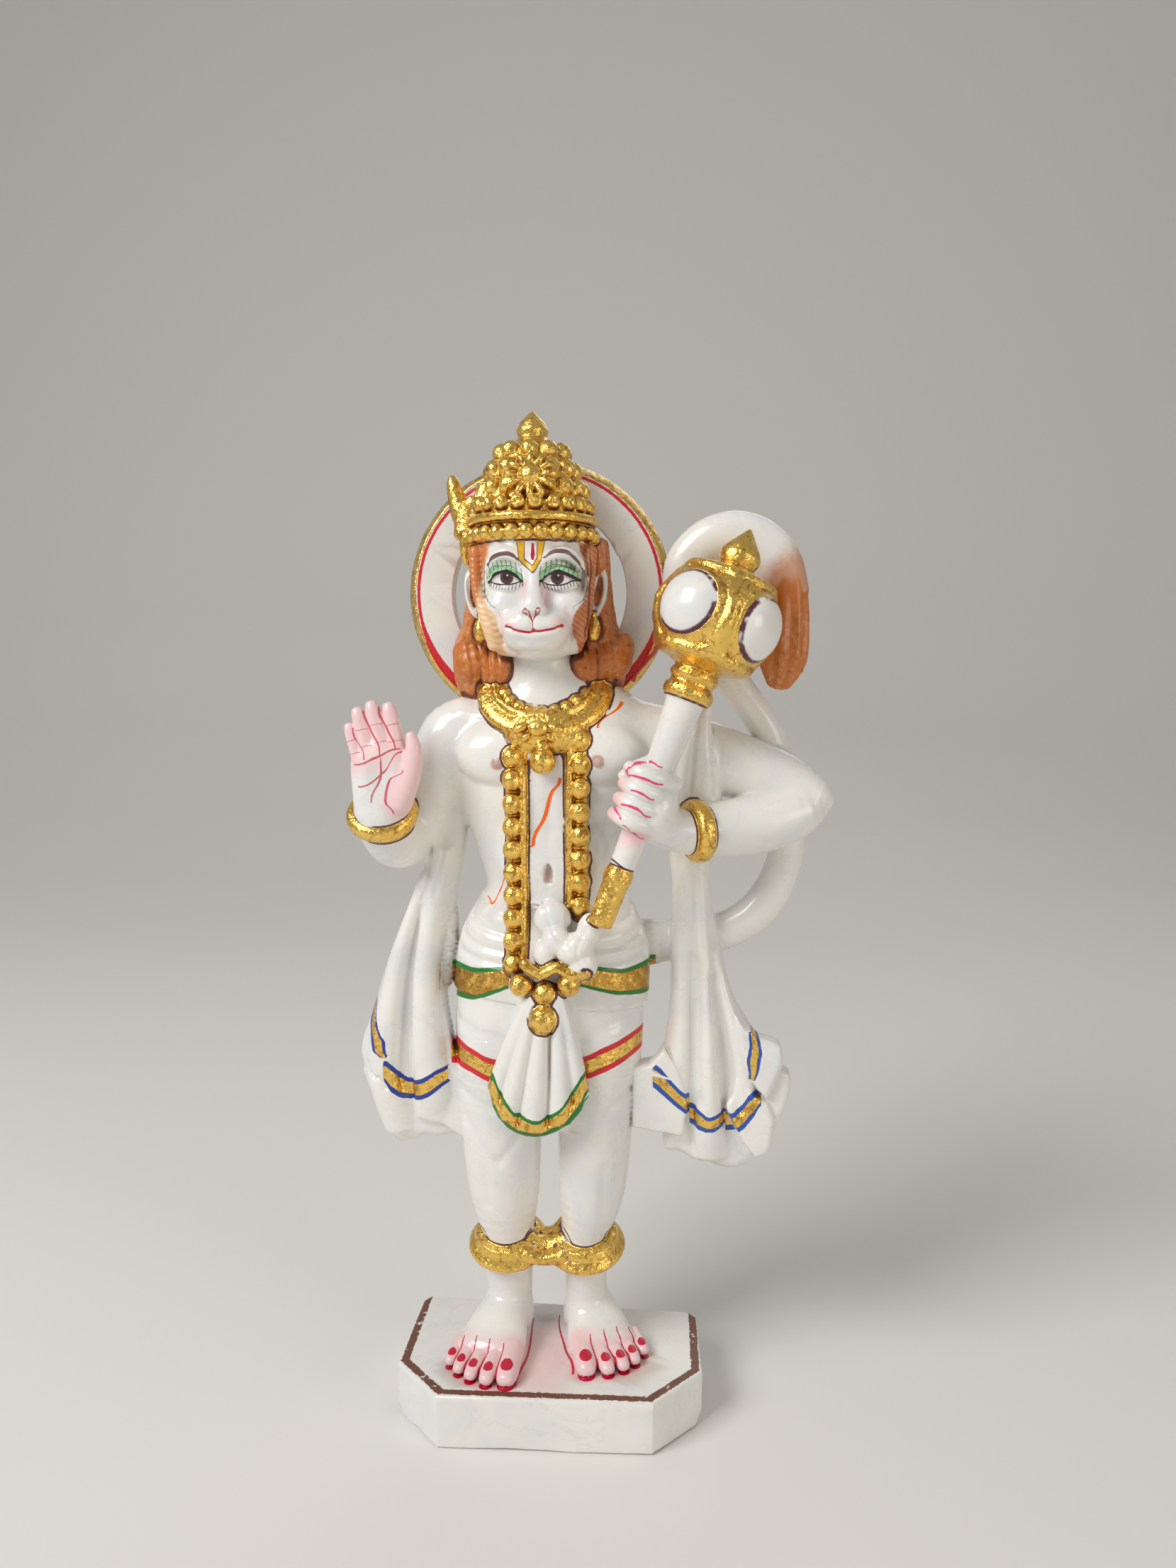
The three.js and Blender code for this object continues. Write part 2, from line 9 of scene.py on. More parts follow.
import logging
import math
from abc import ABC, abstractmethod
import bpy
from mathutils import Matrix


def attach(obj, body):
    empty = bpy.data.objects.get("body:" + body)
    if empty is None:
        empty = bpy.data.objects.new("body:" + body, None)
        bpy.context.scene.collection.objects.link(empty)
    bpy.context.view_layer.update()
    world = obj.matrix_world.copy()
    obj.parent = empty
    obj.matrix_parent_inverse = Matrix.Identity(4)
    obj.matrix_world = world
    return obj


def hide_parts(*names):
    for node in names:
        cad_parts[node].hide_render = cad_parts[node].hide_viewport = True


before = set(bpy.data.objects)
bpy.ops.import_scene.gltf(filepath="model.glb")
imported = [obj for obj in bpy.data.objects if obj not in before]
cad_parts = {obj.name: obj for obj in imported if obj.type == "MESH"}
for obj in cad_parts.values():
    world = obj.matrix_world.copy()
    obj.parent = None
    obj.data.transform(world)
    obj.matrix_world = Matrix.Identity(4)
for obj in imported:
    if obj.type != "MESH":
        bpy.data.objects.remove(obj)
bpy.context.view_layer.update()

from concurrent.futures import ThreadPoolExecutor
from dataclasses import dataclass
from enum import Enum
from typing import Callable, Iterable, Sequence

import bpy
import numpy as np
from mathutils import Matrix, Vector

log = logging.getLogger("hanuman")
Array = np.ndarray
Triple = tuple[float, float, float]
Rows = Sequence[Sequence[float]]

SOLE_HEIGHT = 16.5
"""Millimetres from the plinth's underside up to the soles."""
MM = 0.001
FAR = 9.0
"""A distance that counts as nowhere near, in millimetres."""
FRONT: Triple = (0.0, -1.0, 0.0)
UP: Triple = (0.0, 0.0, 1.0)
BACK: Triple = (0.0, 1.0, 0.0)
BATCH = 40000
"""How many grid points are worked on at once."""
FLUTE_ROOM = 1.4
"""How far flutes can swell a section, as a multiple of their fold."""
LIMB_ROOM = 3.5
"""How far from a limb its distance is still measured, in millimetres."""
GROOVE_ROOM = 2.2
"""How far beyond its line a groove still cuts, as a multiple of its width."""


class Tool(Enum):
    """What a form does to the block of stone."""

    JOIN = "join"
    CUT = "cut"
    NONE = "none"


class Coat(Enum):
    """What a form is covered with."""

    BARE = "bare"
    GOLD = "gold"
    HAIR = "hair"
    NAIL = "nail"
    ROSE = "rose"


def unit(vector: Iterable[float]) -> Array:
    """Scales a vector to length one."""
    made = np.asarray(tuple(vector), float)
    return made / np.linalg.norm(made)


def mirrored(rows: Rows, middle: float) -> list[list[float]]:
    """Turns rows of x, y, z and sizes over to the other side of a middle plane."""
    return [[2 * middle - row[0], *row[1:]] for row in rows]


def filled_rows(rows: Rows, steps: int) -> Array:
    """Fills in rows between the given ones along a smooth curve.

    Args:
        rows: Rows of numbers, all as long as each other.
        steps: How many rows stand for each stretch between two given ones.

    Returns:
        The rows, with the given ones among them.
    """
    given = np.asarray(rows, float)
    last = len(given) - 1
    filled = []
    for i in range(last):
        a, b, c, d = given[max(i - 1, 0)], given[i], given[i + 1], given[min(i + 2, last)]
        for t in np.arange(steps) / steps:
            bend = 2 * a - 5 * b + 4 * c - d + t * (3 * (b - c) + d - a)
            filled.append(b + 0.5 * t * (c - a + t * bend))
    filled.append(given[-1])
    return np.asarray(filled)


def turned_axes(tip: float = 0.0, lean: float = 0.0, turn: float = 0.0) -> Array:
    """Makes a rotation from three angles in degrees.

    Args:
        tip: Tip about the x axis, which brings the front down.
        lean: Lean about the y axis.
        turn: Turn about the z axis.

    Returns:
        A 3 by 3 matrix whose columns are the turned axes.
    """
    spun = Matrix.Rotation(math.radians(turn), 3, "Z")
    leaned = Matrix.Rotation(math.radians(lean), 3, "Y")
    tipped = Matrix.Rotation(math.radians(tip), 3, "X")
    return np.array(spun @ leaned @ tipped)


def ripple(points: Array, scale: float, seed: float = 0.0) -> Array:
    """Gives a smooth wavering between about -1 and 1.

    Args:
        points: Places in millimetres.
        scale: The size of one waver.
        seed: A shift that gives another pattern.

    Returns:
        One number for each point.
    """
    x = points[:, 0] / scale + seed
    y = points[:, 1] / scale - 0.7 * seed
    z = points[:, 2] / scale + 1.3 * seed
    first = np.sin(x + 1.7 * np.sin(1.3 * y + 0.6 * z))
    second = np.sin(1.1 * y + 1.9 * np.sin(0.9 * z - 0.7 * x))
    third = np.sin(1.2 * z + 1.5 * np.sin(0.8 * x + 0.5 * y))
    return (first + second + third) / 3


def oval_distance(local: Array, radii: Array) -> Array:
    """Measures the distance to an oval surface, closely near it and roughly elsewhere.

    Args:
        local: Points from the oval's middle, along its own axes.
        radii: The oval's radii, one row or one for each point.

    Returns:
        A distance for each point, negative inside.
    """
    share = local / radii
    reach = np.sqrt(np.einsum("ij,ij->i", share, share))
    share /= radii
    slope = np.sqrt(np.einsum("ij,ij->i", share, share))
    near = reach * (reach - 1) / np.maximum(slope, 1e-9)
    return np.where(reach < 0.4, (reach - 1) * np.min(radii, axis=-1), near)


def outline_distance(u: Array, v: Array, corners: Rows, closed: bool = True) -> Array:
    """Measures the distance to a polygon, or to a line where it isn't closed.

    Args:
        u: First coordinates of the points.
        v: Second coordinates of the points.
        corners: The corners in order.
        closed: Whether the last corner joins the first.

    Returns:
        A distance for each point, negative inside a closed polygon.
    """
    square = np.full(u.shape, 1e12, np.float32)
    side = np.ones(u.shape, np.float32)
    for i in range(0 if closed else 1, len(corners)):
        here, before = corners[i], corners[i - 1]
        edge = (float(before[0] - here[0]), float(before[1] - here[1]))
        du, dv = u - float(here[0]), v - float(here[1])
        t = np.clip((du * edge[0] + dv * edge[1]) / (edge[0] ** 2 + edge[1] ** 2 + 1e-9), 0, 1)
        square = np.minimum(square, (du - t * edge[0]) ** 2 + (dv - t * edge[1]) ** 2)
        if closed:
            above, below, left = dv >= 0, v < float(before[1]), edge[0] * dv > edge[1] * du
            side = np.where((above & below & left) | ~(above | below | left), -side, side)
    return side * np.sqrt(square)


class Form(ABC):
    """A shape that can be joined to the block or cut out of it."""

    @abstractmethod
    def reach(self) -> tuple[Array, Array]:
        """Gives the lowest and highest corners of the shape's box."""

    @abstractmethod
    def distance(self, points: Array) -> Array:
        """Measures how far points are from the shape's surface, negative inside it."""


@dataclass
class Lump(Form):
    """An egg-shaped lump, turned by three angles in degrees or by axes of its own."""

    at: Triple
    radii: Triple
    tip: float = 0.0
    lean: float = 0.0
    turn: float = 0.0
    axes: Array | None = None

    def frame(self) -> Array:
        """Gives the lump's own axes as columns."""
        return turned_axes(self.tip, self.lean, self.turn) if self.axes is None else self.axes

    def reach(self) -> tuple[Array, Array]:
        """Gives the box of the lump."""
        half = np.abs(self.frame()) @ np.asarray(self.radii)
        return np.asarray(self.at) - half, np.asarray(self.at) + half

    def distance(self, points: Array) -> Array:
        """Measures the distance to the lump."""
        local = (points - np.asarray(self.at, np.float32)) @ self.frame().astype(np.float32)
        return oval_distance(local, np.asarray(self.radii, np.float32))


@dataclass
class Limb(Form):
    """Oval sections strung on a curve: arms, legs, fingers, locks of hair and hanging cloth.

    A station holds the centre's x, y and z, the section's half width and half depth, and how deep the flutes
    are there. The depth lies towards facing.
    """

    stations: Rows
    facing: Triple = FRONT
    flutes: int = 0
    fold: float = 0.0
    steps: int = 4
    ends: float = 0.8

    def __post_init__(self) -> None:
        """Fills in the sections and their directions."""
        rows = [list(row) + [1.0] * (6 - len(row)) for row in self.stations]
        sections = filled_rows(rows, self.steps).astype(np.float32)
        self.centres = sections[:, :3]
        self.sizes = np.maximum(sections[:, 3:5], 0.2)
        self.depths = np.maximum(sections[:, 5], 0)
        along = np.gradient(self.centres, axis=0)
        along /= np.linalg.norm(along, axis=1)[:, None]
        across = np.cross(along, np.asarray(self.facing, np.float32))
        self.across = across / np.linalg.norm(across, axis=1)[:, None]
        self.out = np.cross(self.across, along)

    def swell(self, depth: Array) -> Array:
        """Gives how much flutes of a depth can swell a section."""
        return 1 + FLUTE_ROOM * abs(self.fold) * depth

    def reach(self) -> tuple[Array, Array]:
        """Gives a box that holds every section."""
        pad = (self.sizes.max(axis=1) * self.swell(self.depths))[:, None]
        return (self.centres - pad).min(axis=0), (self.centres + pad).max(axis=0)

    def distance(self, points: Array) -> Array:
        """Measures the distance to the limb's nearest stretch."""
        best = np.full(len(points), FAR, np.float32)
        for i in range(len(self.centres) - 1):
            a, b = self.centres[i], self.centres[i + 1]
            pad = self.sizes[i : i + 2].max() * self.swell(self.depths[i : i + 2].max()) + LIMB_ROOM
            inside = np.all((points > np.minimum(a, b) - pad) & (points < np.maximum(a, b) + pad), axis=1)
            near = np.flatnonzero(inside)
            if not len(near):
                continue
            edge = b - a
            length = float(np.linalg.norm(edge))
            offset = points[near] - a
            t = np.clip(offset @ edge / length**2, 0, 1)[:, None]
            offset -= t * edge
            across = self.across[i] * (1 - t) + self.across[i + 1] * t
            out = self.out[i] * (1 - t) + self.out[i + 1] * t
            size = self.sizes[i] * (1 - t) + self.sizes[i + 1] * t
            u = np.einsum("ij,ij->i", offset, across)
            v = np.einsum("ij,ij->i", offset, out)
            w = offset @ (edge / length)
            if self.flutes:
                depth = self.depths[i] * (1 - t[:, 0]) + self.depths[i + 1] * t[:, 0]
                angle = self.flutes * np.arctan2(v / size[:, 1], u / size[:, 0])
                size = size * (1 + self.fold * depth * np.cos(angle))[:, None]
            cap = self.ends * size.min(axis=1)
            found = oval_distance(np.stack([u, v, w], axis=1), np.column_stack([size, cap]))
            best[near] = np.minimum(best[near], found)
        return best


@dataclass
class Turning(Form):
    """A form turned on an axis. Profile pairs are the radius and the height above foot."""

    foot: Triple
    axis: Triple
    profile: Rows
    round: float = 0.0

    def __post_init__(self) -> None:
        """Finds the axis's own directions."""
        self.along = unit(self.axis).astype(np.float32)
        helper = FRONT if abs(self.along[1]) < 0.9 else UP
        self.across = unit(np.cross(self.along, helper)).astype(np.float32)
        self.out = np.cross(self.across, self.along)

    def reach(self) -> tuple[Array, Array]:
        """Gives a box round the turning."""
        radius = max(r for r, _ in self.profile) + self.round
        heights = [h for _, h in self.profile]
        ends = np.array([np.asarray(self.foot) + self.along * h for h in (min(heights), max(heights))])
        pad = radius * np.sqrt(np.maximum(1 - self.along**2, 0)) + self.round + 0.1
        return ends.min(axis=0) - pad, ends.max(axis=0) + pad

    def distance(self, points: Array) -> Array:
        """Measures the distance to the turned surface."""
        offset = points - np.asarray(self.foot, np.float32)
        radius = np.hypot(offset @ self.across, offset @ self.out)
        return outline_distance(radius, offset @ self.along, self.profile) - self.round


@dataclass
class Ring(Form):
    """A bar bent into an oval ring about a turned axis."""

    at: Triple
    wide: float
    deep: float
    bar: float
    height: float
    tip: float = 0.0

    def reach(self) -> tuple[Array, Array]:
        """Gives a box round the ring."""
        box = np.array([self.wide + self.bar, self.deep + self.bar, self.height])
        half = np.abs(turned_axes(self.tip)) @ box
        return np.asarray(self.at) - half, np.asarray(self.at) + half

    def distance(self, points: Array) -> Array:
        """Measures the distance to the ring's bar."""
        local = (points - np.asarray(self.at, np.float32)) @ turned_axes(self.tip).astype(np.float32)
        share = np.hypot(local[:, 0] / self.wide, local[:, 1] / self.deep)
        across = np.hypot(local[:, 0], local[:, 1]) * (1 - 1 / np.maximum(share, 1e-6))
        radii = np.array([self.bar, self.height], np.float32)
        return oval_distance(np.column_stack([across, local[:, 2]]), radii)

    def spots(self, pitch: float, start: float = -180.0, stop: float = 180.0) -> list[Triple]:
        """Gives places at an even pitch round the ring, from a start to a stop angle, 0 at the front."""
        count = max(2, round(math.radians(stop - start) * (self.wide + self.deep) / 2 / pitch))
        axes = turned_axes(self.tip)
        places = []
        for angle in np.radians(np.linspace(start, stop, count, endpoint=stop - start < 359)):
            spot = axes @ np.array([self.wide * math.sin(angle), -self.deep * math.cos(angle), 0.0])
            places.append(tuple(np.asarray(self.at) + spot))
        return places


@dataclass
class Slab(Form):
    """A flat block with softened edges.

    Its outline lies in x and y, or in x and z where it stands upright.
    """

    outline: Rows
    low: float
    high: float
    worn: float
    upright: bool = False

    def reach(self) -> tuple[Array, Array]:
        """Gives the slab's box."""
        corners = np.asarray(self.outline, float)
        (x, v), (x_far, v_far) = corners.min(axis=0), corners.max(axis=0)
        if self.upright:
            return np.array([x, self.low, v]), np.array([x_far, self.high, v_far])
        return np.array([x, v, self.low]), np.array([x_far, v_far, self.high])

    def distance(self, points: Array) -> Array:
        """Measures the distance to the slab's surface."""
        second, third = (2, 1) if self.upright else (1, 2)
        side = outline_distance(points[:, 0], points[:, second], self.outline) + self.worn
        level = np.abs(points[:, third] - (self.low + self.high) / 2) - (self.high - self.low) / 2 + self.worn
        outside = np.hypot(np.maximum(side, 0), np.maximum(level, 0))
        return outside + np.minimum(np.maximum(side, level), 0) - self.worn


@dataclass
class Groove:
    """A line cut with a chisel on the faces that it passes over.

    Points are x and z. A negative depth gives a raised line.
    """

    points: Rows
    width: float
    depth: float
    near: float = -60.0
    far: float = 2.0

    def reach(self) -> tuple[Array, Array]:
        """Gives the box that the groove lies in."""
        corners = np.asarray(self.points, float)
        pad = GROOVE_ROOM * self.width
        low, high = corners.min(axis=0) - pad, corners.max(axis=0) + pad
        return np.array([low[0], self.near, low[1]]), np.array([high[0], self.far, high[1]])

    def depth_at(self, points: Array) -> Array:
        """Gives how deep the groove is at each point."""
        line = filled_rows(self.points, 4) if len(self.points) > 2 else self.points
        away = outline_distance(points[:, 0], points[:, 2], line, closed=False)
        return self.depth * np.exp(-((away / self.width) ** 2))


@dataclass
class Dressing:
    """A fine unevenness left by the tool all over one box of the surface."""

    low: Triple
    high: Triple
    pattern: Callable[[Array], Array]

    def reach(self) -> tuple[Array, Array]:
        """Gives the box that is dressed."""
        return np.asarray(self.low, float), np.asarray(self.high, float)

    def depth_at(self, points: Array) -> Array:
        """Gives how deep the tool went at each point."""
        return self.pattern(points)


@dataclass
class Carving:
    """One step of the work: a form, how softly it meets the rest, the tool and the coat."""

    form: Form
    soft: float = 1.0
    coat: Coat = Coat.BARE
    tool: Tool = Tool.JOIN


Step = Carving | Groove | Dressing


def met(a: Array, b: Array, soft: float) -> Array:
    """Joins two sets of distances, with a soft fillet where they meet.

    Args:
        a: The first distances.
        b: The second distances.
        soft: How wide the fillet is, in millimetres.

    Returns:
        The joined distances.
    """
    if soft <= 0:
        return np.minimum(a, b)
    share = np.clip(0.5 + 0.5 * (b - a) / soft, 0, 1)
    return b + (a - b) * share - soft * share * (1 - share)


class Block:
    """The carver's block: a grid of distances that forms are joined to and cut from."""

    NEAR_CELLS: float = 1.35
    """How many rough cells from the rough surface the fine grid is still worked on."""
    NEAR_ROOM: float = 0.5
    """How many millimetres more than that."""
    WORK_CELLS: float = 2.5
    """How many cells beyond its box a form is still measured."""
    LEAST_CELL: float = 0.8
    """The least size, in millimetres, that such a cell counts as."""
    SLOPE_STEP: float = 0.9
    """The step that the slope is measured with, in cells."""

    def __init__(
        self, low: Iterable[float], high: Iterable[float], cell: float, rough: "Block | None" = None
    ) -> None:
        """Marks out the grid.

        Args:
            low: The block's lowest corner.
            high: Its highest corner.
            cell: The grid's pitch, in millimetres.
            rough: A coarser block of the same carving, which shows where the surface runs.
        """
        self.low, self.cell = np.asarray(tuple(low), np.float32), cell
        span = np.asarray(tuple(high)) - self.low
        self.shape = tuple(int(n) + 1 for n in np.ceil(span / cell))
        self.live: Array | None = None
        self.field = np.full(self.shape, FAR, np.float32)
        if rough is not None:
            picks = [
                np.clip(np.rint(np.arange(n) * cell / rough.cell).astype(int), 0, rough.shape[i] - 1)
                for i, n in enumerate(self.shape)
            ]
            there = rough.field[np.ix_(*picks)]
            self.live = np.abs(there) < self.NEAR_CELLS * rough.cell + self.NEAR_ROOM
            self.field[~self.live & (there < 0)] = -FAR

    def spots(self, reach: tuple[Array, Array], pad: float) -> tuple[tuple[slice, ...], tuple[Array, ...]]:
        """Finds the grid points that something within a box can change.

        Args:
            reach: The box's lowest and highest corners.
            pad: How far beyond the box to look.

        Returns:
            The window's slices and the points' indices in the window.
        """
        first = np.maximum(np.floor((reach[0] - pad - self.low) / self.cell).astype(int), 0)
        last = np.minimum(np.ceil((reach[1] + pad - self.low) / self.cell).astype(int) + 1, self.shape)
        window = tuple(slice(int(a), int(max(a, b))) for a, b in zip(first, last))
        if self.live is None:
            size = [s.stop - s.start for s in window]
            return window, tuple(axis.ravel() for axis in np.indices(size))
        return window, np.nonzero(self.live[window])

    def places(self, window: tuple[slice, ...], index: tuple[Array, ...]) -> Array:
        """Gives the places of grid points in millimetres."""
        grid = np.stack([(n + s.start).astype(np.float32) for n, s in zip(index, window)], axis=1)
        return self.low + grid * np.float32(self.cell)

    def work(self, step: Step, team: ThreadPoolExecutor) -> None:
        """Does one step of the carving.

        Args:
            step: A form to join or cut, a groove or a dressing.
            team: Workers that share the grid points.
        """
        form = step.form if isinstance(step, Carving) else step
        if isinstance(step, Carving) and step.tool is Tool.NONE:
            return
        soft = pad = 0.0
        if isinstance(step, Carving):
            soft = step.soft
            pad = self.WORK_CELLS * max(self.cell, self.LEAST_CELL) + soft
        window, index = self.spots(form.reach(), pad)
        if not len(index[0]):
            return
        part = self.field[window]

        def shave(start: int) -> None:
            """Works on one batch of the grid points."""
            some = tuple(n[start : start + BATCH] for n in index)
            points = self.places(window, some)
            old = part[some]
            if not isinstance(step, Carving):
                part[some] = old + step.depth_at(points)
            elif step.tool is Tool.JOIN:
                part[some] = met(old, step.form.distance(points), soft)
            else:
                part[some] = -met(-old, step.form.distance(points), soft)

        list(team.map(shave, range(0, len(index[0]), BATCH)))

    def sample(self, points: Array) -> Array:
        """Reads the distances at places between the grid points."""
        spot = (points - self.low) / self.cell
        base = np.clip(np.floor(spot).astype(int), 0, np.asarray(self.shape) - 2)
        t = np.clip(spot - base, 0, 1)
        total = np.zeros(len(points))
        for corner in np.ndindex(2, 2, 2):
            share = np.prod(np.where(corner, t, 1 - t), axis=1)
            total += share * self.field[tuple((base + corner).T)]
        return total

    def slope(self, points: Array) -> Array:
        """Gives the direction that leads straight out of the stone at each place."""
        step = self.SLOPE_STEP * self.cell
        ways = [self.sample(points + step * way) - self.sample(points - step * way) for way in np.eye(3)]
        out = np.stack(ways, axis=1)
        return out / np.maximum(np.linalg.norm(out, axis=1), 1e-9)[:, None]

    def skin(self) -> tuple[Array, Array]:
        """Draws a skin of quads round the carving.

        Returns:
            The corners and the quads.
        """
        inside = self.field < 0
        count = np.zeros(tuple(n - 1 for n in self.shape), np.uint8)
        for i, j, k in np.ndindex(2, 2, 2):
            count += inside[i : i + count.shape[0], j : j + count.shape[1], k : k + count.shape[2]]
        crossed = (count > 0) & (count < 8)
        ids = np.flatnonzero(crossed)
        cells = np.stack(np.unravel_index(ids, crossed.shape), axis=1)
        total, hits = np.zeros((len(ids), 3)), np.zeros(len(ids))
        for a in np.ndindex(2, 2, 2):
            for axis in range(3):
                if a[axis]:
                    continue
                b = tuple(1 if n == axis else a[n] for n in range(3))
                da = self.field[tuple((cells + a).T)].astype(float)
                db = self.field[tuple((cells + b).T)].astype(float)
                cut = (da < 0) != (db < 0)
                t = np.where(cut, da / np.where(cut, da - db, 1), 0)
                spot = np.asarray(a, float) + t[:, None] * np.eye(3)[axis]
                total += spot * cut[:, None]
                hits += cut
        corners = self.low + (cells + total / hits[:, None]) * self.cell
        quads = []
        for axis in range(3):
            near = tuple(slice(None, -1) if n == axis else slice(None) for n in range(3))
            far = tuple(slice(1, None) if n == axis else slice(None) for n in range(3))
            edges = np.argwhere(inside[near] != inside[far])
            u, v = (axis + 1) % 3, (axis + 2) % 3
            ring = []
            for du, dv in ((1, 1), (0, 1), (0, 0), (1, 0)):
                cell = edges.copy()
                cell[:, u] -= du
                cell[:, v] -= dv
                ring.append(np.searchsorted(ids, np.ravel_multi_index(tuple(cell.T), crossed.shape)))
            quad = np.stack(ring, axis=1)
            flip = inside[far][tuple(edges.T)]
            quad[flip] = quad[flip][:, ::-1]
            quads.append(quad)
        return corners, np.concatenate(quads)


def linear(red: float, green: float, blue: float) -> tuple[float, float, float, float]:
    """Turns a colour read off a paint card, 0 to 255, into the renderer's own scale."""
    shares = [c / 255 for c in (red, green, blue)]
    return (*(c / 12.92 if c <= 0.04045 else ((c + 0.055) / 1.055) ** 2.4 for c in shares), 1.0)


@dataclass(frozen=True)
class Paint:
    """A colour from the paint card and how it shines."""

    card: Triple
    metallic: float = 0.0
    roughness: float = 0.42


class Pigment(Enum):
    """The pots on the painter's table."""

    GOLD_LEAF = Paint((250, 206, 104), 0.88, 0.18)
    # Leaf as painted where it shows dark reflections or lies in shade.
    SHADED_LEAF = Paint((172, 118, 40), 1.0, 0.3)
    UMBER = Paint((62, 28, 34), 0.0, 0.5)
    CHESTNUT = Paint((112, 66, 44), 0.0, 0.5)
    CRIMSON = Paint((200, 16, 58), 0.0, 0.36)
    RED = Paint((214, 24, 42), 0.0, 0.4)
    ROSE = Paint((232, 70, 124), 0.0, 0.4)
    PLUM = Paint((88, 36, 54), 0.0, 0.42)
    BLUSH = Paint((250, 176, 186), 0.0, 0.4)
    SKY = Paint((34, 84, 176), 0.0, 0.4)
    BLUE = Paint((24, 54, 158), 0.0, 0.4)
    GREEN = Paint((20, 122, 44), 0.0, 0.4)
    LID_GREEN = Paint((138, 204, 140), 0.0, 0.45)
    LID_DARK = Paint((24, 82, 48), 0.0, 0.45)
    BROW = Paint((94, 44, 42), 0.0, 0.45)
    ORANGE = Paint((250, 108, 24), 0.0, 0.4)
    FUR = Paint((200, 116, 44), 0.0, 0.4)
    FUR_DARK = Paint((112, 52, 26), 0.0, 0.5)
    FUR_PALE = Paint((240, 206, 156), 0.0, 0.45)
    YELLOW = Paint((236, 186, 30), 0.0, 0.4)
    WHITE = Paint((244, 240, 238), 0.0, 0.3)
    LASH = Paint((26, 18, 18), 0.0, 0.4)
    IRIS = Paint((86, 46, 34), 0.0, 0.25)
    NOSTRIL = Paint((184, 74, 74), 0.0, 0.45)
    SKIN_BROWN = Paint((186, 136, 120), 0.0, 0.45)


class Wire:
    """A number that runs between nodes, with sums on it written as usual."""

    def __init__(self, bench: "Bench", socket: bpy.types.NodeSocket) -> None:
        """Keeps the node tree and the socket that the number comes out of."""
        self.bench, self.socket = bench, socket

    def __add__(self, other: "Wire | float") -> "Wire":
        """Adds."""
        return self.bench.sum("ADD", self, other)

    def __sub__(self, other: "Wire | float") -> "Wire":
        """Subtracts."""
        return self.bench.sum("SUBTRACT", self, other)

    def __rsub__(self, other: float) -> "Wire":
        """Subtracts from a plain number."""
        return self.bench.sum("SUBTRACT", other, self)

    def __mul__(self, other: "Wire | float") -> "Wire":
        """Multiplies."""
        return self.bench.sum("MULTIPLY", self, other)

    def __abs__(self) -> "Wire":
        """Drops the sign."""
        return self.bench.sum("ABSOLUTE", self)

    def least(self, other: "Wire | float") -> "Wire":
        """Takes the smaller of two."""
        return self.bench.sum("MINIMUM", self, other)

    def most(self, other: "Wire | float") -> "Wire":
        """Takes the larger of two."""
        return self.bench.sum("MAXIMUM", self, other)

    def hypot(self, other: "Wire") -> "Wire":
        """Gives the length of a step along both."""
        return self.bench.sum("SQRT", self * self + other * other)

    def ramp(self, low: float, high: float, first: float = 0.0, last: float = 1.0) -> "Wire":
        """Runs smoothly from first to last as the number goes from low to high."""
        return self.bench.ramp(self, low, high, first, last)


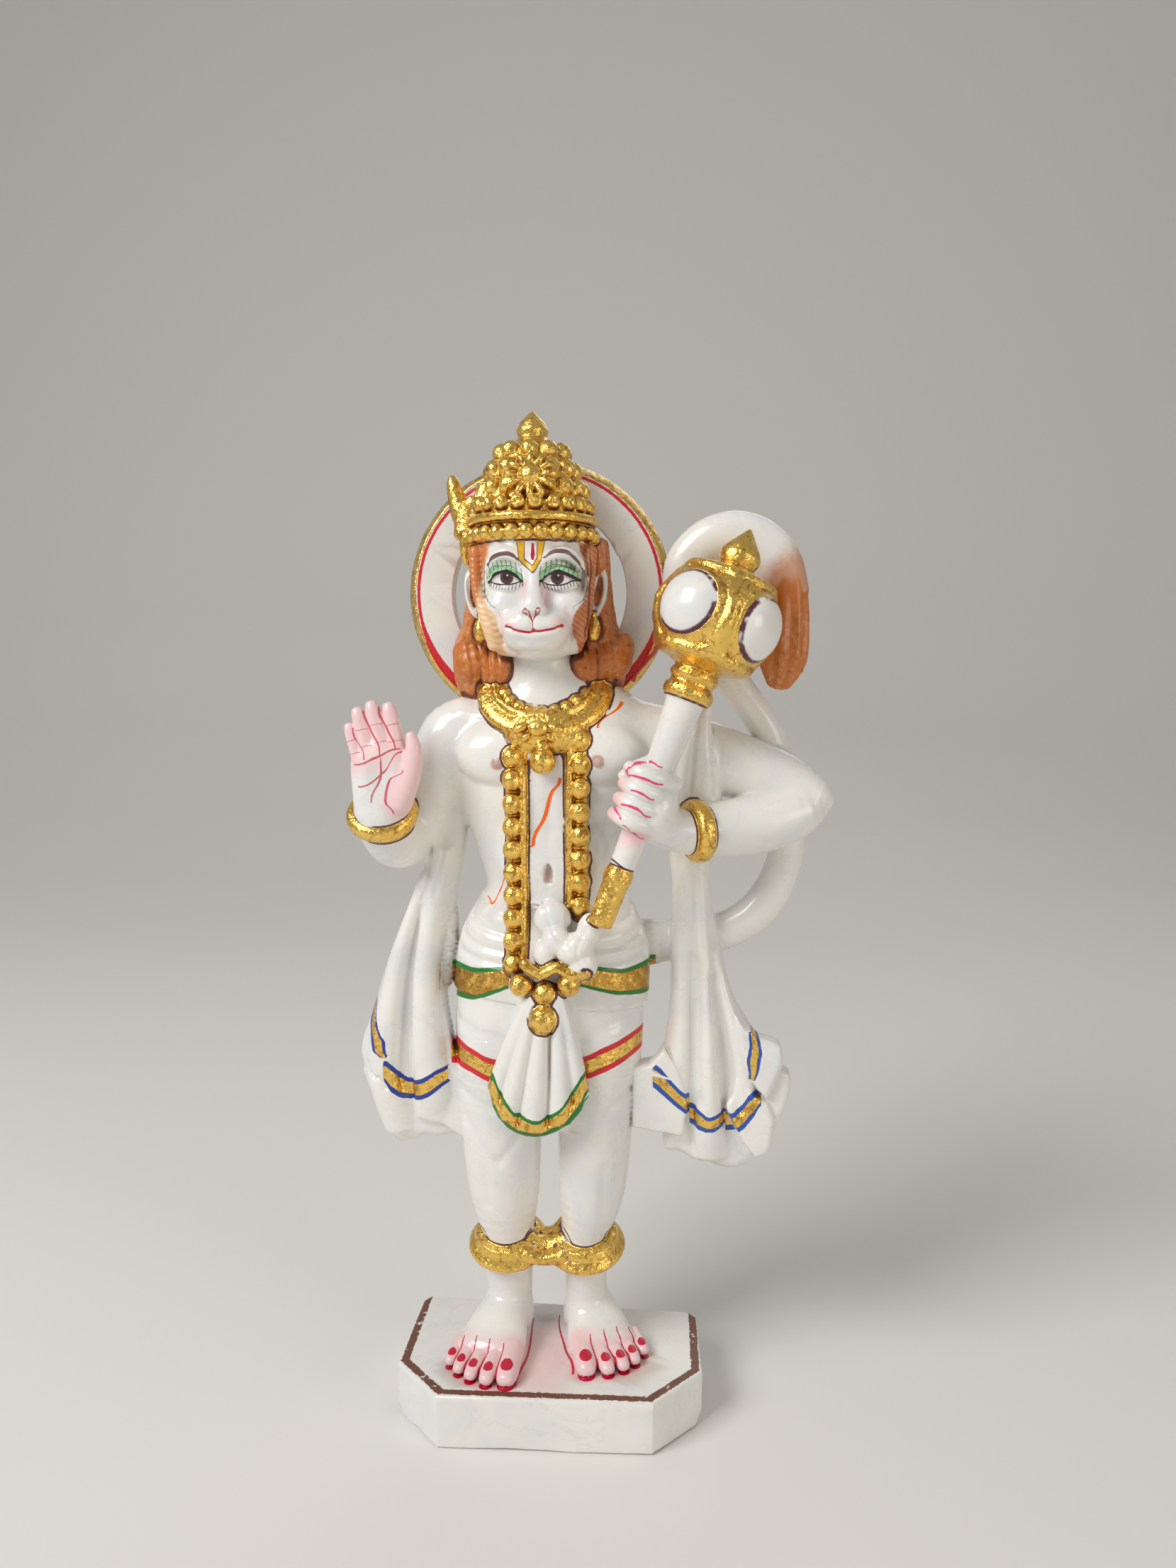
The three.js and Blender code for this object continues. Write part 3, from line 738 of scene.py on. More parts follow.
class Bench:
    """The node tree of one finish, with short ways to wire it."""

    def __init__(self, name: str) -> None:
        """Makes an empty tree and the place on the figure in millimetres.

        Args:
            name: The material's name.
        """
        self.material = bpy.data.materials.new(name)
        self.material.use_nodes = True
        self.tree = self.material.node_tree
        self.tree.nodes.clear()
        spot = self.node("ShaderNodeTexCoord").outputs["Object"]
        figure = self.node("ShaderNodeVectorMath", operation="MULTIPLY_ADD")
        self.tree.links.new(spot, figure.inputs[0])
        figure.inputs[1].default_value = (1 / MM,) * 3
        figure.inputs[2].default_value = (0, 0, -SOLE_HEIGHT)
        self.place = figure.outputs[0]
        split = self.node("ShaderNodeSeparateXYZ")
        self.tree.links.new(self.place, split.inputs[0])
        self.x, self.y, self.z = (Wire(self, split.outputs[i]) for i in range(3))

    def node(self, kind: str, **settings: object) -> bpy.types.Node:
        """Adds a node.

        Args:
            kind: Blender's name for the node.
            settings: Its properties.

        Returns:
            The node.
        """
        made = self.tree.nodes.new(kind)
        for name, value in settings.items():
            setattr(made, name, value)
        return made

    def feed(self, value: "Wire | float", socket: bpy.types.NodeSocket) -> None:
        """Links a wire to a socket, or sets a plain number on it."""
        if isinstance(value, Wire):
            self.tree.links.new(value.socket, socket)
        else:
            socket.default_value = value

    def sum(self, operation: str, *values: "Wire | float") -> Wire:
        """Adds a Math node."""
        made = self.node("ShaderNodeMath", operation=operation)
        for value, socket in zip(values, made.inputs):
            self.feed(value, socket)
        return Wire(self, made.outputs[0])

    def ramp(
        self, value: Wire, low: float, high: float, first: float, last: float, smooth: bool = True
    ) -> Wire:
        """Maps a number onto another range and stops it at the ends."""
        made = self.node("ShaderNodeMapRange", interpolation_type="SMOOTHSTEP" if smooth else "LINEAR")
        for socket, number in zip(made.inputs, (value, low, high, first, last)):
            self.feed(number, socket)
        return Wire(self, made.outputs[0])

    def noise(
        self, size: float, detail: float = 3.0, rough: float = 0.55, bend: float = 0.0, seed: float = 0.0
    ) -> Wire:
        """Adds a noise about one half, with wavers of a size in millimetres."""
        made = self.node("ShaderNodeTexNoise", noise_dimensions="4D")
        self.tree.links.new(self.place, made.inputs["Vector"])
        for name, number in (("W", seed), ("Scale", 1 / size), ("Detail", detail), ("Roughness", rough)):
            made.inputs[name].default_value = number
        made.inputs["Distortion"].default_value = bend
        return Wire(self, made.outputs[0])

    def curve(self, share: Wire, pairs: Sequence[tuple[float, float]], straight: bool = False) -> Wire:
        """Bends a share between 0 and 1 through pairs of shares."""
        made = self.node("ShaderNodeFloatCurve")
        self.feed(share, made.inputs["Value"])
        points = made.mapping.curves[0].points
        for spot, (a, b) in zip(points, (pairs[0], pairs[-1])):
            spot.location = (a, b)
        for a, b in pairs[1:-1]:
            points.new(a, b)
        for spot in points:
            spot.handle_type = "VECTOR" if straight else "AUTO_CLAMPED"
        made.mapping.update()
        return Wire(self, made.outputs[0])

    def layer(self, name: str) -> Wire:
        """Reads a number that the statue's mesh holds at each corner."""
        made = self.node("ShaderNodeAttribute", attribute_name=name)
        return Wire(self, made.outputs["Fac"])

    def blend(self, share: "Wire | float", under: object, over: object, colour: bool) -> Wire:
        """Mixes two colours or two numbers."""
        made = self.node("ShaderNodeMix", data_type="RGBA" if colour else "FLOAT")
        first = 6 if colour else 2
        self.feed(share, made.inputs[0])
        self.feed(under, made.inputs[first])
        self.feed(over, made.inputs[first + 1])
        return Wire(self, made.outputs[2 if colour else 0])


class Plane(Enum):
    """The plane that a brush stroke is laid out on."""

    FACE = "x and z"
    FLOOR = "x and y"


@dataclass(frozen=True)
class Stroke:
    """A brush stroke by its middle line and breadth.

    Rows hold where it is across, where it is up, and its half breadth, in millimetres. An upright stroke is
    given from its foot to its head, and any other from left to right.
    """

    rows: tuple[Triple, ...]
    upright: bool = False
    plane: Plane = Plane.FACE

    def distance(self, bench: Bench) -> Wire:
        """Measures the distance to the stroke's edge in a material."""
        across, up = bench.x, bench.z if self.plane is Plane.FACE else bench.y
        run, other = (up, across) if self.upright else (across, up)
        pick = 1 if self.upright else 0
        rows = sorted(self.rows, key=lambda row: row[pick])
        start, stop = rows[0][pick] - 0.25, rows[-1][pick] + 0.25
        shares = [(row[pick] - start) / (stop - start) for row in rows]
        middles, breadths = [row[1 - pick] for row in rows], [row[2] for row in rows]
        low, tall = min(middles), max(max(middles) - min(middles), 0.01)
        most = max(breadths) + 1
        share = bench.ramp(run, start, stop, 0, 1, smooth=False)
        bends = [(s, (m - low) / tall) for s, m in zip(shares, middles)]
        bends = [(0.0, bends[0][1]), *bends, (1.0, bends[-1][1])]
        swells = [(0.0, 0.0), *((s, (b + 1) / most) for s, b in zip(shares, breadths)), (1.0, 0.0)]
        middle = bench.curve(share, bends) * tall + low
        breadth = bench.curve(share, swells, straight=True) * most - 1.0
        return abs(other - middle) - breadth


@dataclass(frozen=True)
class Spot:
    """A round or oval dab of paint."""

    across: float
    up: float
    wide: float
    high: float
    plane: Plane = Plane.FACE

    def distance(self, bench: Bench) -> Wire:
        """Measures the distance to the dab's edge in a material."""
        up = bench.z if self.plane is Plane.FACE else bench.y
        a, b = (bench.x - self.across) * (1 / self.wide), (up - self.up) * (1 / self.high)
        return (a.hypot(b) - 1.0) * min(self.wide, self.high)


@dataclass(frozen=True)
class Comb:
    """A row of short fine strokes that stand side by side along a curved band."""

    band: Stroke
    pitch: float
    breadth: float
    slant: float = 0.0

    def distance(self, bench: Bench) -> Wire:
        """Measures the distance to the nearest of the fine strokes in a material."""
        across = (bench.x + bench.z * self.slant) * (1 / self.pitch)
        tooth = abs(bench.sum("FRACT", across) - 0.5) * self.pitch - self.breadth
        return tooth.most(self.band.distance(bench))


@dataclass(frozen=True)
class Hoop:
    """A painted line that runs round a middle point, broader low down by swell."""

    across: float
    up: float
    radius: float
    breadth: float
    swell: float = 0.0

    def distance(self, bench: Bench) -> Wire:
        """Measures the distance to the line's edge in a material."""
        reach = (bench.x - self.across).hypot(bench.z - self.up)
        breadth = bench.z.ramp(self.up - 6, self.up - 26, self.breadth, self.breadth + self.swell)
        return abs(reach - self.radius) - breadth


@dataclass(frozen=True)
class Border:
    """A painted line that follows the edges of a flat slab, given as way across, way back and reach."""

    edges: tuple[Triple, ...]
    inset: float
    breadth: float

    def distance(self, bench: Bench) -> Wire:
        """Measures the distance to the line's edge in a material."""
        sides = [bench.x * a + bench.y * b - c for a, b, c in self.edges]
        outer = sides[0]
        for side in sides[1:]:
            outer = outer.most(side)
        return abs(outer + self.inset + self.breadth / 2) - self.breadth / 2


Mark = Stroke | Spot | Comb | Hoop | Border


@dataclass(frozen=True)
class Layer:
    """One pigment laid on along marks, with how soft its edge is and how it wavers.

    It covers only what lies in front of front and above above, strength says how much, and worn wears it
    through in patches.
    """

    pigment: Pigment
    marks: tuple[Mark, ...]
    soft: float = 0.12
    waver: float = 0.12
    strength: float = 1.0
    front: float | None = None
    above: float | None = None
    worn: float = 0.0

    def mask(self, bench: Bench) -> Wire:
        """Gives how much of the pigment lies at each place."""
        reach = self.marks[0].distance(bench)
        for mark in self.marks[1:]:
            reach = reach.least(mark.distance(bench))
        if self.waver:
            reach = reach + (bench.noise(1.1, 2.0, seed=3.0) - 0.5) * (2.4 * self.waver)
        cover = reach.ramp(self.soft, -self.soft, 0.0, self.strength)
        if self.front is not None:
            cover = cover * bench.y.ramp(self.front, self.front - 0.6)
        if self.above is not None:
            cover = cover * bench.z.ramp(self.above, self.above + 0.3)
        if self.worn:
            cover = cover * bench.noise(3.0, 4.0, 0.7, seed=7.0).ramp(self.worn, self.worn + 0.04)
        return cover


@dataclass(frozen=True)
class Canvas:
    """A box of the figure's surface with its own layers of paint."""

    name: str
    low: Triple
    high: Triple
    layers: tuple[Layer, ...]


@dataclass(frozen=True)
class PaintedMarble:
    """Polished white marble with clouds and veins, gold leaf, and the painter's layers on top."""

    cloud: Triple = (230, 231, 230)
    stone: Triple = (240, 238, 232)
    stain: Triple = (226, 212, 186)
    vein: Triple = (196, 194, 192)
    # Colour of the painted shade laid in the stone's hollows.
    hollow_shade: Triple = (172, 146, 118)
    roughness: float = 0.2
    leaf_edge: float = 0.34
    outline: float = 0.5

    def dress(self, name: str, layers: Sequence[Layer]) -> bpy.types.Material:
        """Makes the material for one canvas.

        Args:
            name: The material's name.
            layers: The painter's layers, the first laid on first.

        Returns:
            The material.
        """
        bench = Bench(name)
        hollow = bench.layer("hollow")
        colour, metal, rough = self.stone_look(bench, hollow)

        def lay(pigment: Pigment, cover: Wire) -> None:
            """Covers what is there with a pigment."""
            nonlocal colour, metal, rough
            paint = pigment.value
            colour = bench.blend(cover, colour, linear(*paint.card), True)
            metal = bench.blend(cover, metal, paint.metallic, False)
            rough = bench.blend(cover, rough, paint.roughness, False)

        lay(Pigment.BLUSH, bench.layer("rose").ramp(3.6, -0.5, 0.0, 0.5))
        hair = bench.layer("hair")
        strands = bench.noise(1.6, 3.0, 0.6, seed=5.0)
        covered = hair.ramp(0.55, 0.25)
        lay(Pigment.FUR, covered)
        lay(Pigment.FUR_PALE, covered * strands.ramp(0.5, 0.75, 0.0, 0.4))
        # Darker fur in the hair's hollows is painted shade; the dark random strands are the fur's own
        # pattern.
        lay(Pigment.FUR_DARK, covered * hollow.ramp(0.12, 0.5).most(strands.ramp(0.46, 0.25, 0.0, 0.7)))
        lay(Pigment.CRIMSON, bench.layer("nail").ramp(0.42, 0.2))
        leafed: Wire | None = None
        for layer in layers:
            cover = layer.mask(bench)
            lay(layer.pigment, cover)
            if layer.pigment is Pigment.GOLD_LEAF:
                leafed = cover if leafed is None else leafed.most(cover)
        gold = bench.layer("gold") + (bench.noise(1.4, 2.0, seed=2.0) - 0.5) * 0.3
        edge, stop = self.leaf_edge, self.leaf_edge + self.outline
        line = gold.ramp(stop + 0.15, stop - 0.1) * bench.noise(6.0, 2.0, seed=9.0).ramp(0.34, 0.44)
        lay(Pigment.PLUM, line)
        leaf = gold.ramp(edge + 0.08, edge - 0.08)
        lay(Pigment.GOLD_LEAF, leaf)
        leaf = leaf if leafed is None else leaf.most(leafed)
        # Painted dark reflections and painted shade on the leaf.
        self.shade_leaf(bench, leaf, hollow, lay)
        height = self.relief(bench, leaf)
        self.finish(bench, colour, metal, rough, height)
        return bench.material

    def stone_look(self, bench: Bench, hollow: Wire) -> tuple[Wire, Wire, Wire]:
        """Gives the bare stone's colour, with painted shade in its hollows, and its metal and roughness."""
        clouds = bench.noise(26.0, 4.0, 0.6, bend=0.8, seed=1.0)
        colour = bench.blend(clouds.ramp(0.42, 0.66), linear(*self.stone), linear(*self.cloud), True)
        stains = bench.noise(17.0, 5.0, 0.65, seed=4.0).ramp(0.56, 0.78, 0.0, 0.22)
        colour = bench.blend(stains, colour, linear(*self.stain), True)
        veins = abs(bench.noise(34.0, 5.0, 0.62, bend=1.2, seed=6.0) - 0.5).ramp(0.012, 0.0, 0.0, 0.16)
        colour = bench.blend(veins, colour, linear(*self.vein), True)
        grain = bench.noise(0.8, 2.0, 0.6, seed=8.0).ramp(0.35, 0.65, 0.0, 0.06)
        colour = bench.blend(grain, colour, linear(*self.cloud), True)
        # Browns the stone where it lies deep in a hollow: painted shade.
        colour = bench.blend(hollow.ramp(0.5, 1.15, 0.0, 0.4), colour, linear(*self.hollow_shade), True)
        rough = bench.noise(9.0, 3.0, seed=12.0).ramp(0.3, 0.7, self.roughness - 0.05, self.roughness + 0.1)
        return colour, bench.sum("MULTIPLY", hollow, 0.0), rough

    def shade_leaf(self, bench: Bench, leaf: Wire, hollow: Wire, lay: Callable[[Pigment, Wire], None]) -> None:
        """Paints dark reflections on the leaf in patches of noise, and shade in its hollows."""
        # Dark patches of noise on the leaf: painted dark reflections.
        folds = bench.noise(3.2, 3.0, 0.55, bend=2.0, seed=10.0)
        lay(Pigment.SHADED_LEAF, leaf * folds.ramp(0.5, 0.66, 0.0, 0.7))
        # Painted shade in the leaf's hollows, plum in the deepest.
        lay(Pigment.SHADED_LEAF, leaf * hollow.ramp(0.4, 0.85, 0.0, 0.8))
        lay(Pigment.PLUM, leaf * hollow.ramp(0.95, 1.3, 0.0, 0.8))

    def relief(self, bench: Bench, leaf: Wire) -> Wire:
        """Gives the fine height of the surface: leaf crinkles and the stone's faint tool marks."""
        crinkle = bench.noise(2.4, 3.0, 0.5, bend=2.6, seed=11.0)
        dents = bench.noise(4.2, 2.0, 0.5, seed=13.0)
        skin = bench.noise(3.0, 3.0, 0.6, seed=14.0) * 0.03
        return skin + leaf * (crinkle * 0.45 + dents * 0.9)

    def finish(self, bench: Bench, colour: Wire, metal: Wire, rough: Wire, height: Wire) -> None:
        """Joins everything to the shader."""
        bump = bench.node("ShaderNodeBump")
        bump.inputs["Strength"].default_value = 0.7
        bump.inputs["Distance"].default_value = 1.0 * MM
        bench.feed(height, bump.inputs["Height"])
        shader = bench.node("ShaderNodeBsdfPrincipled")
        shader.subsurface_method = "RANDOM_WALK"
        for name, value in (("Base Color", colour), ("Metallic", metal), ("Roughness", rough)):
            bench.feed(value, shader.inputs[name])
        for name, number in (
            ("IOR", 1.5),
            ("Subsurface Weight", 0.3),
            ("Subsurface Scale", 0.003),
            ("Coat Weight", 0.25),
            ("Coat Roughness", 0.1),
        ):
            shader.inputs[name].default_value = number
        shader.inputs["Subsurface Radius"].default_value = (1.0, 0.75, 0.6)
        bench.tree.links.new(bump.outputs[0], shader.inputs["Normal"])
        end = bench.node("ShaderNodeOutputMaterial")
        bench.tree.links.new(shader.outputs[0], end.inputs[0])


def between(a: Sequence[float], b: Sequence[float], t: float) -> tuple[float, ...]:
    """Gives the place at a share t of the way from a to b."""
    return tuple(p + (q - p) * t for p, q in zip(a, b))


def line(points: Rows, half: float, upright: bool = False, ends: float = 0.5) -> Stroke:
    """Makes a stroke through points, which thins towards its ends."""
    last = len(points) - 1
    rows = ((a, b, half * (ends if i in (0, last) else 1.0)) for i, (a, b) in enumerate(points))
    return Stroke(tuple(rows), upright)


def band(first: Rows, second: Rows, upright: bool = False) -> Stroke:
    """Makes a filled stroke between two edges.

    Args:
        first: Points x, z along the upper or right edge.
        second: Points x, z along the lower or left edge.
        upright: Whether the edges run up and not across.

    Returns:
        The stroke.
    """
    pick = 1 if upright else 0
    edges = [sorted(edge, key=lambda point: point[pick]) for edge in (first, second)]
    runs = sorted({point[pick] for edge in edges for point in edge})
    sides = [np.interp(runs, [p[pick] for p in edge], [p[1 - pick] for p in edge]) for edge in edges]
    rows = []
    for run, a, b in zip(runs, *sides):
        middle, half = float(a + b) / 2, abs(float(a - b)) / 2
        rows.append((middle, run, half) if upright else (run, middle, half))
    return Stroke(tuple(rows), upright)


def middle_of(stroke: Stroke, share: float) -> Stroke:
    """Makes a narrower stroke along the middle of another."""
    return Stroke(tuple((a, b, half * share) for a, b, half in stroke.rows), stroke.upright, stroke.plane)


class Portion(ABC):
    """A sub-assembly of the statue: what is carved for it and what is painted on it."""

    @abstractmethod
    def carved(self) -> list[Step]:
        """Gives the steps of its carving."""

    def painted(self) -> list[Canvas]:
        """Gives its painted areas."""
        return []


@dataclass(frozen=True)
class Plinth(Portion):
    """The sawn slab under the feet, with its front corners cut off and a brown line near its edge."""

    wide: float = 94.0
    deep: float = 54.0
    front_corner: float = 15.0
    side_corner: float = 17.0
    back_corner: float = 3.0
    skew: float = 2.5
    worn: float = 0.9

    def outline(self) -> list[tuple[float, float]]:
        """Gives the slab's corners in x and y."""
        side, front, cut = self.wide / 2, self.deep / 2, self.back_corner
        return [
            (-side, -front + self.side_corner),
            (-side + self.front_corner, -front),
            (side - self.front_corner, -front),
            (side, -front + self.side_corner),
            (side - 1, front - cut - self.skew),
            (side - 1 - cut, front - self.skew),
            (-side + cut, front + self.skew),
            (-side + 1, front + self.skew - cut),
        ]

    def sawn(self, points: Array) -> Array:
        """Gives the depth of the saw and chisel marks on the slab's sides."""
        side = np.clip((-0.8 - points[:, 2]) / 1.2, 0, 1)
        low = np.clip((-9 - points[:, 2]) / 7, 0, 1)
        marks = 0.12 + 0.08 * ripple(points, 2.6) + 0.1 * ripple(points * np.array([1, 1, 2.6]), 5.5, 3)
        return side * np.maximum(marks + low * (0.2 + 0.25 * ripple(points, 5, 8)), 0)

    def carved(self) -> list[Step]:
        """Saws the slab and leaves its sides rough."""
        slab = Slab(self.outline(), -SOLE_HEIGHT, 0, self.worn)
        ends = [(-48, -4, -16.6, 2.4, 9, 2.6), (48, -6, -16, 2.4, 8, 3.2), (-41, -20.4, -17.6, 3, 3.4, 2.2)]
        chips = [Carving(Lump(tuple(c[:3]), tuple(c[3:])), 1.5, tool=Tool.CUT) for c in ends]
        return [Carving(slab, 0), *chips, Dressing((-50, -32, -18), (50, 32, 0.5), self.sawn)]

    def painted(self) -> list[Canvas]:
        """Paints the brown line, the red lines round the feet, the blush between them and painted shade
        behind the heels.
        """
        side, front = self.wide / 2, self.deep / 2
        slant = unit((self.side_corner, self.front_corner))
        reach = float(slant @ (side, front - self.side_corner))
        edges = (
            (-1, 0, side),
            (1, 0, side),
            (0, -1, front),
            (-float(slant[0]), -float(slant[1]), reach),
            (float(slant[0]), -float(slant[1]), reach),
        )
        floor = Plane.FLOOR
        blush = Layer(Pigment.BLUSH, (Spot(-2, -6, 9, 20, floor),), 6, 0.8, 0.4, above=-0.4)
        inner = (
            Stroke(((-7.6, 17.5, 0.2), (-7.1, -0.1, 0.4), (-9.3, -20.9, 0.45)), True, floor),
            Stroke(((0.8, 19.8, 0.2), (4.1, 0.6, 0.4), (7.6, -13.8, 0.4)), True, floor),
        )
        feet = Feet()
        outer = tuple(mark for foot in (feet.right, feet.left) for mark in foot.tip_lines())
        lines = Layer(Pigment.CRIMSON, (*inner, *outer), above=-0.4)
        # A soft umber patch on the plinth top between and behind the heels: painted shade under the figure.
        stain = Layer(Pigment.UMBER, (Spot(-3, 17, 3.6, 2.4, floor),), 3, 1.2, 0.3, above=-0.4)
        brown = Layer(Pigment.CHESTNUT, (Border(edges, 1, 2.5),), 0.1, 0.5, above=-0.5, worn=0.36)
        return [Canvas("plinth", (-50, -32, -18), (50, 32, 1.2), (blush, stain, lines, brown))]


@dataclass(frozen=True)
class Foot(Portion):
    """A bare foot by its heel, the middle of its ball, its toes' tips and the ends of their row of roots."""

    heel: tuple[float, float]
    ball: tuple[float, float]
    tips: tuple[tuple[float, float], ...]
    roots: tuple[tuple[float, float], tuple[float, float]]

    def thickness(self, toe: int) -> float:
        """Gives half the breadth of a toe by its number, the big toe being 0."""
        return 3.5 if toe == 0 else 2.8 - 0.18 * toe

    def carved(self) -> list[Step]:
        """Carves the foot, its toes and their nails."""
        heel, ball = self.heel, self.ball
        stations = [
            (heel[0], heel[1] + 2, 4.6, 5, 6.6),
            (*between(heel, ball, 0.12), 6, 7.6, 8.4),
            (*between(heel, ball, 0.45), 7, 8.6, 7.6),
            (*between(heel, ball, 0.8), 4.4, 10.6, 5.6),
            (*ball, 3.4, 11.2, 4.6),
        ]
        steps: list[Step] = [Carving(Limb(stations, facing=UP), 2)]
        for i, tip in enumerate(self.tips):
            thick = self.thickness(i)
            root = between(*self.roots, i / 4)
            middle = between(root, tip, 0.72)
            toe = Limb(
                (
                    (*root, 3.8, thick, thick),
                    (*middle, 2.6, thick, thick * 0.95),
                    (*tip, 2.1, thick * 0.78, thick * 0.7),
                ),
                UP,
            )
            nail = Lump((*between(root, tip, 0.8), 2.4 + thick * 0.92), (thick * 0.5, thick * 0.62, 1.2))
            steps += [
                Carving(toe, 0.5),
                Carving(toe, coat=Coat.ROSE, tool=Tool.NONE),
                Carving(nail, coat=Coat.NAIL, tool=Tool.NONE),
            ]
        return steps

    def tip_lines(self) -> list[Mark]:
        """Gives the red dabs on the plinth that ring the toes' tips."""
        sizes = [self.thickness(i) for i in range(len(self.tips))]
        return [
            Spot(x, y + 0.4, size * 0.76, size * 0.84, Plane.FLOOR) for (x, y), size in zip(self.tips, sizes)
        ]

    def toe_lines(self) -> list[Mark]:
        """Gives the red lines between the toes, in x and y."""
        marks: list[Mark] = []
        for i in range(4):
            gap = between(self.tips[i], self.tips[i + 1], 0.5)
            back = between(*self.roots, (i + 0.5) / 4)
            start = between(back, gap, 0.15)
            marks.append(
                Stroke(((*start, 0.15), (*between(start, gap, 0.5), 0.35), (*gap, 0.4)), True, Plane.FLOOR)
            )
        return marks


@dataclass(frozen=True)
class Feet(Portion):
    """Both bare feet on the plinth."""

    right: Foot = Foot(
        (-14.2, 14),
        (-19, -8),
        ((-12, -21.2), (-18, -21.4), (-23, -19.4), (-27, -16.4), (-30.2, -12.4)),
        ((-11.5, -9), (-28.5, -4)),
    )
    left: Foot = Foot(
        (9.6, 17),
        (16.4, -3),
        ((11.8, -14.6), (18.4, -14), (23, -11.8), (26.4, -8.4), (29, -3.2)),
        ((10, -4), (25.5, 4)),
    )

    def carved(self) -> list[Step]:
        """Carves both feet."""
        return [*self.right.carved(), *self.left.carved()]

    def painted(self) -> list[Canvas]:
        """Paints the red lines between the toes."""
        between_toes = Layer(Pigment.CRIMSON, tuple(self.right.toe_lines() + self.left.toe_lines()), 0.15)
        return [Canvas("toes", (-36, -28, 1.2), (34, 6, 10), (between_toes,))]


@dataclass(frozen=True)
class Legs(Portion):
    """The legs under the thin cloth, with a gilded anklet round each."""

    right: Triple = (-14.4, -16, -16)
    left: Triple = (10.2, 13, 13.4)
    slimmer: float = 0.8

    def leg(self, ankle: float, calf: float, knee: float, slim: float) -> Limb:
        """Gives one leg by the x of its ankle, calf and knee."""
        return Limb(
            (
                (ankle, 10, 6, 7, 7),
                (ankle, 9.5, 20, 7.4 - slim, 7.7),
                (ankle - 0.3, 8.6, 34, 8.1 - slim, 8.8),
                (0.7 * calf + 0.3 * ankle, 7.3, 48, 10.9 - slim, 11.2),
                (calf, 6, 62, 12.1 - slim, 12.3),
                (knee, 5, 76, 12.6 - slim, 12.9),
                (knee, 5.8, 90, 13.6 - slim, 14.2),
                (knee, 6, 104, 13.2, 13.6),
            )
        )

    def anklet(self, ankle: float) -> Turning:
        """Gives the flared gilt ring round one ankle, lower in front."""
        rows = ((0, 0), (11.2, 0), (12.2, 0.4), (12.6, 1.3), (12.1, 2.3), (10.6, 3.8), (9.8, 6.2), (0, 6.4))
        return Turning((ankle - 0.2, 9, 29.6), (0, -0.36, 0.933), rows, 0.2)

    def carved(self) -> list[Step]:
        """Carves the legs, the cloth's creases and the anklets."""
        steps: list[Step] = [
            Carving(self.leg(*self.right, 0), 2.5), Carving(self.leg(*self.left, self.slimmer), 2.5)
        ]
        creases = (
            ((-26, 75.4), (-20, 66), (-16.1, 62.5)),
            ((-10, 70), (-15.6, 62.8)),
            ((6, 76), (10.5, 71), (14.9, 69.8)),
            ((-20, 60), (-19.4, 48)),
            ((16.6, 62), (16, 46)),
        )
        steps += [Groove(points, 1.6, 0.45) for points in creases]
        for ankle in (self.right[0], self.left[0]):
            steps.append(Carving(self.anklet(ankle), 0.5, Coat.GOLD))
        for y, z in ((0.2, 30), (4.6, 32.6), (9, 33.6)):
            bridge = Limb(
                (
                    (-7.6, y, z + 0.4, 2.4, 2.6),
                    (-2.2, y - 0.3, z - 0.4, 2.2, 2.6),
                    (3.4, y, z + 0.6, 2.4, 2.6),
                )
            )
            steps.append(Carving(bridge, 1.6, Coat.GOLD))
        return steps

    def painted(self) -> list[Canvas]:
        """Paints the brown hem line above each anklet."""
        hems = (
            line(((-22.8, 37.6), (-20.4, 34.8), (-15.6, 31.2), (-10, 33.4), (-6, 37)), 0.5),
            line(((3.2, 37.6), (6.8, 33.8), (11.8, 32), (15.6, 34.2), (18.4, 37.6)), 0.5),
        )
        return [Canvas("shins", (-30, -12, 29), (28, 6, 44), (Layer(Pigment.PLUM, hems, front=5),))]


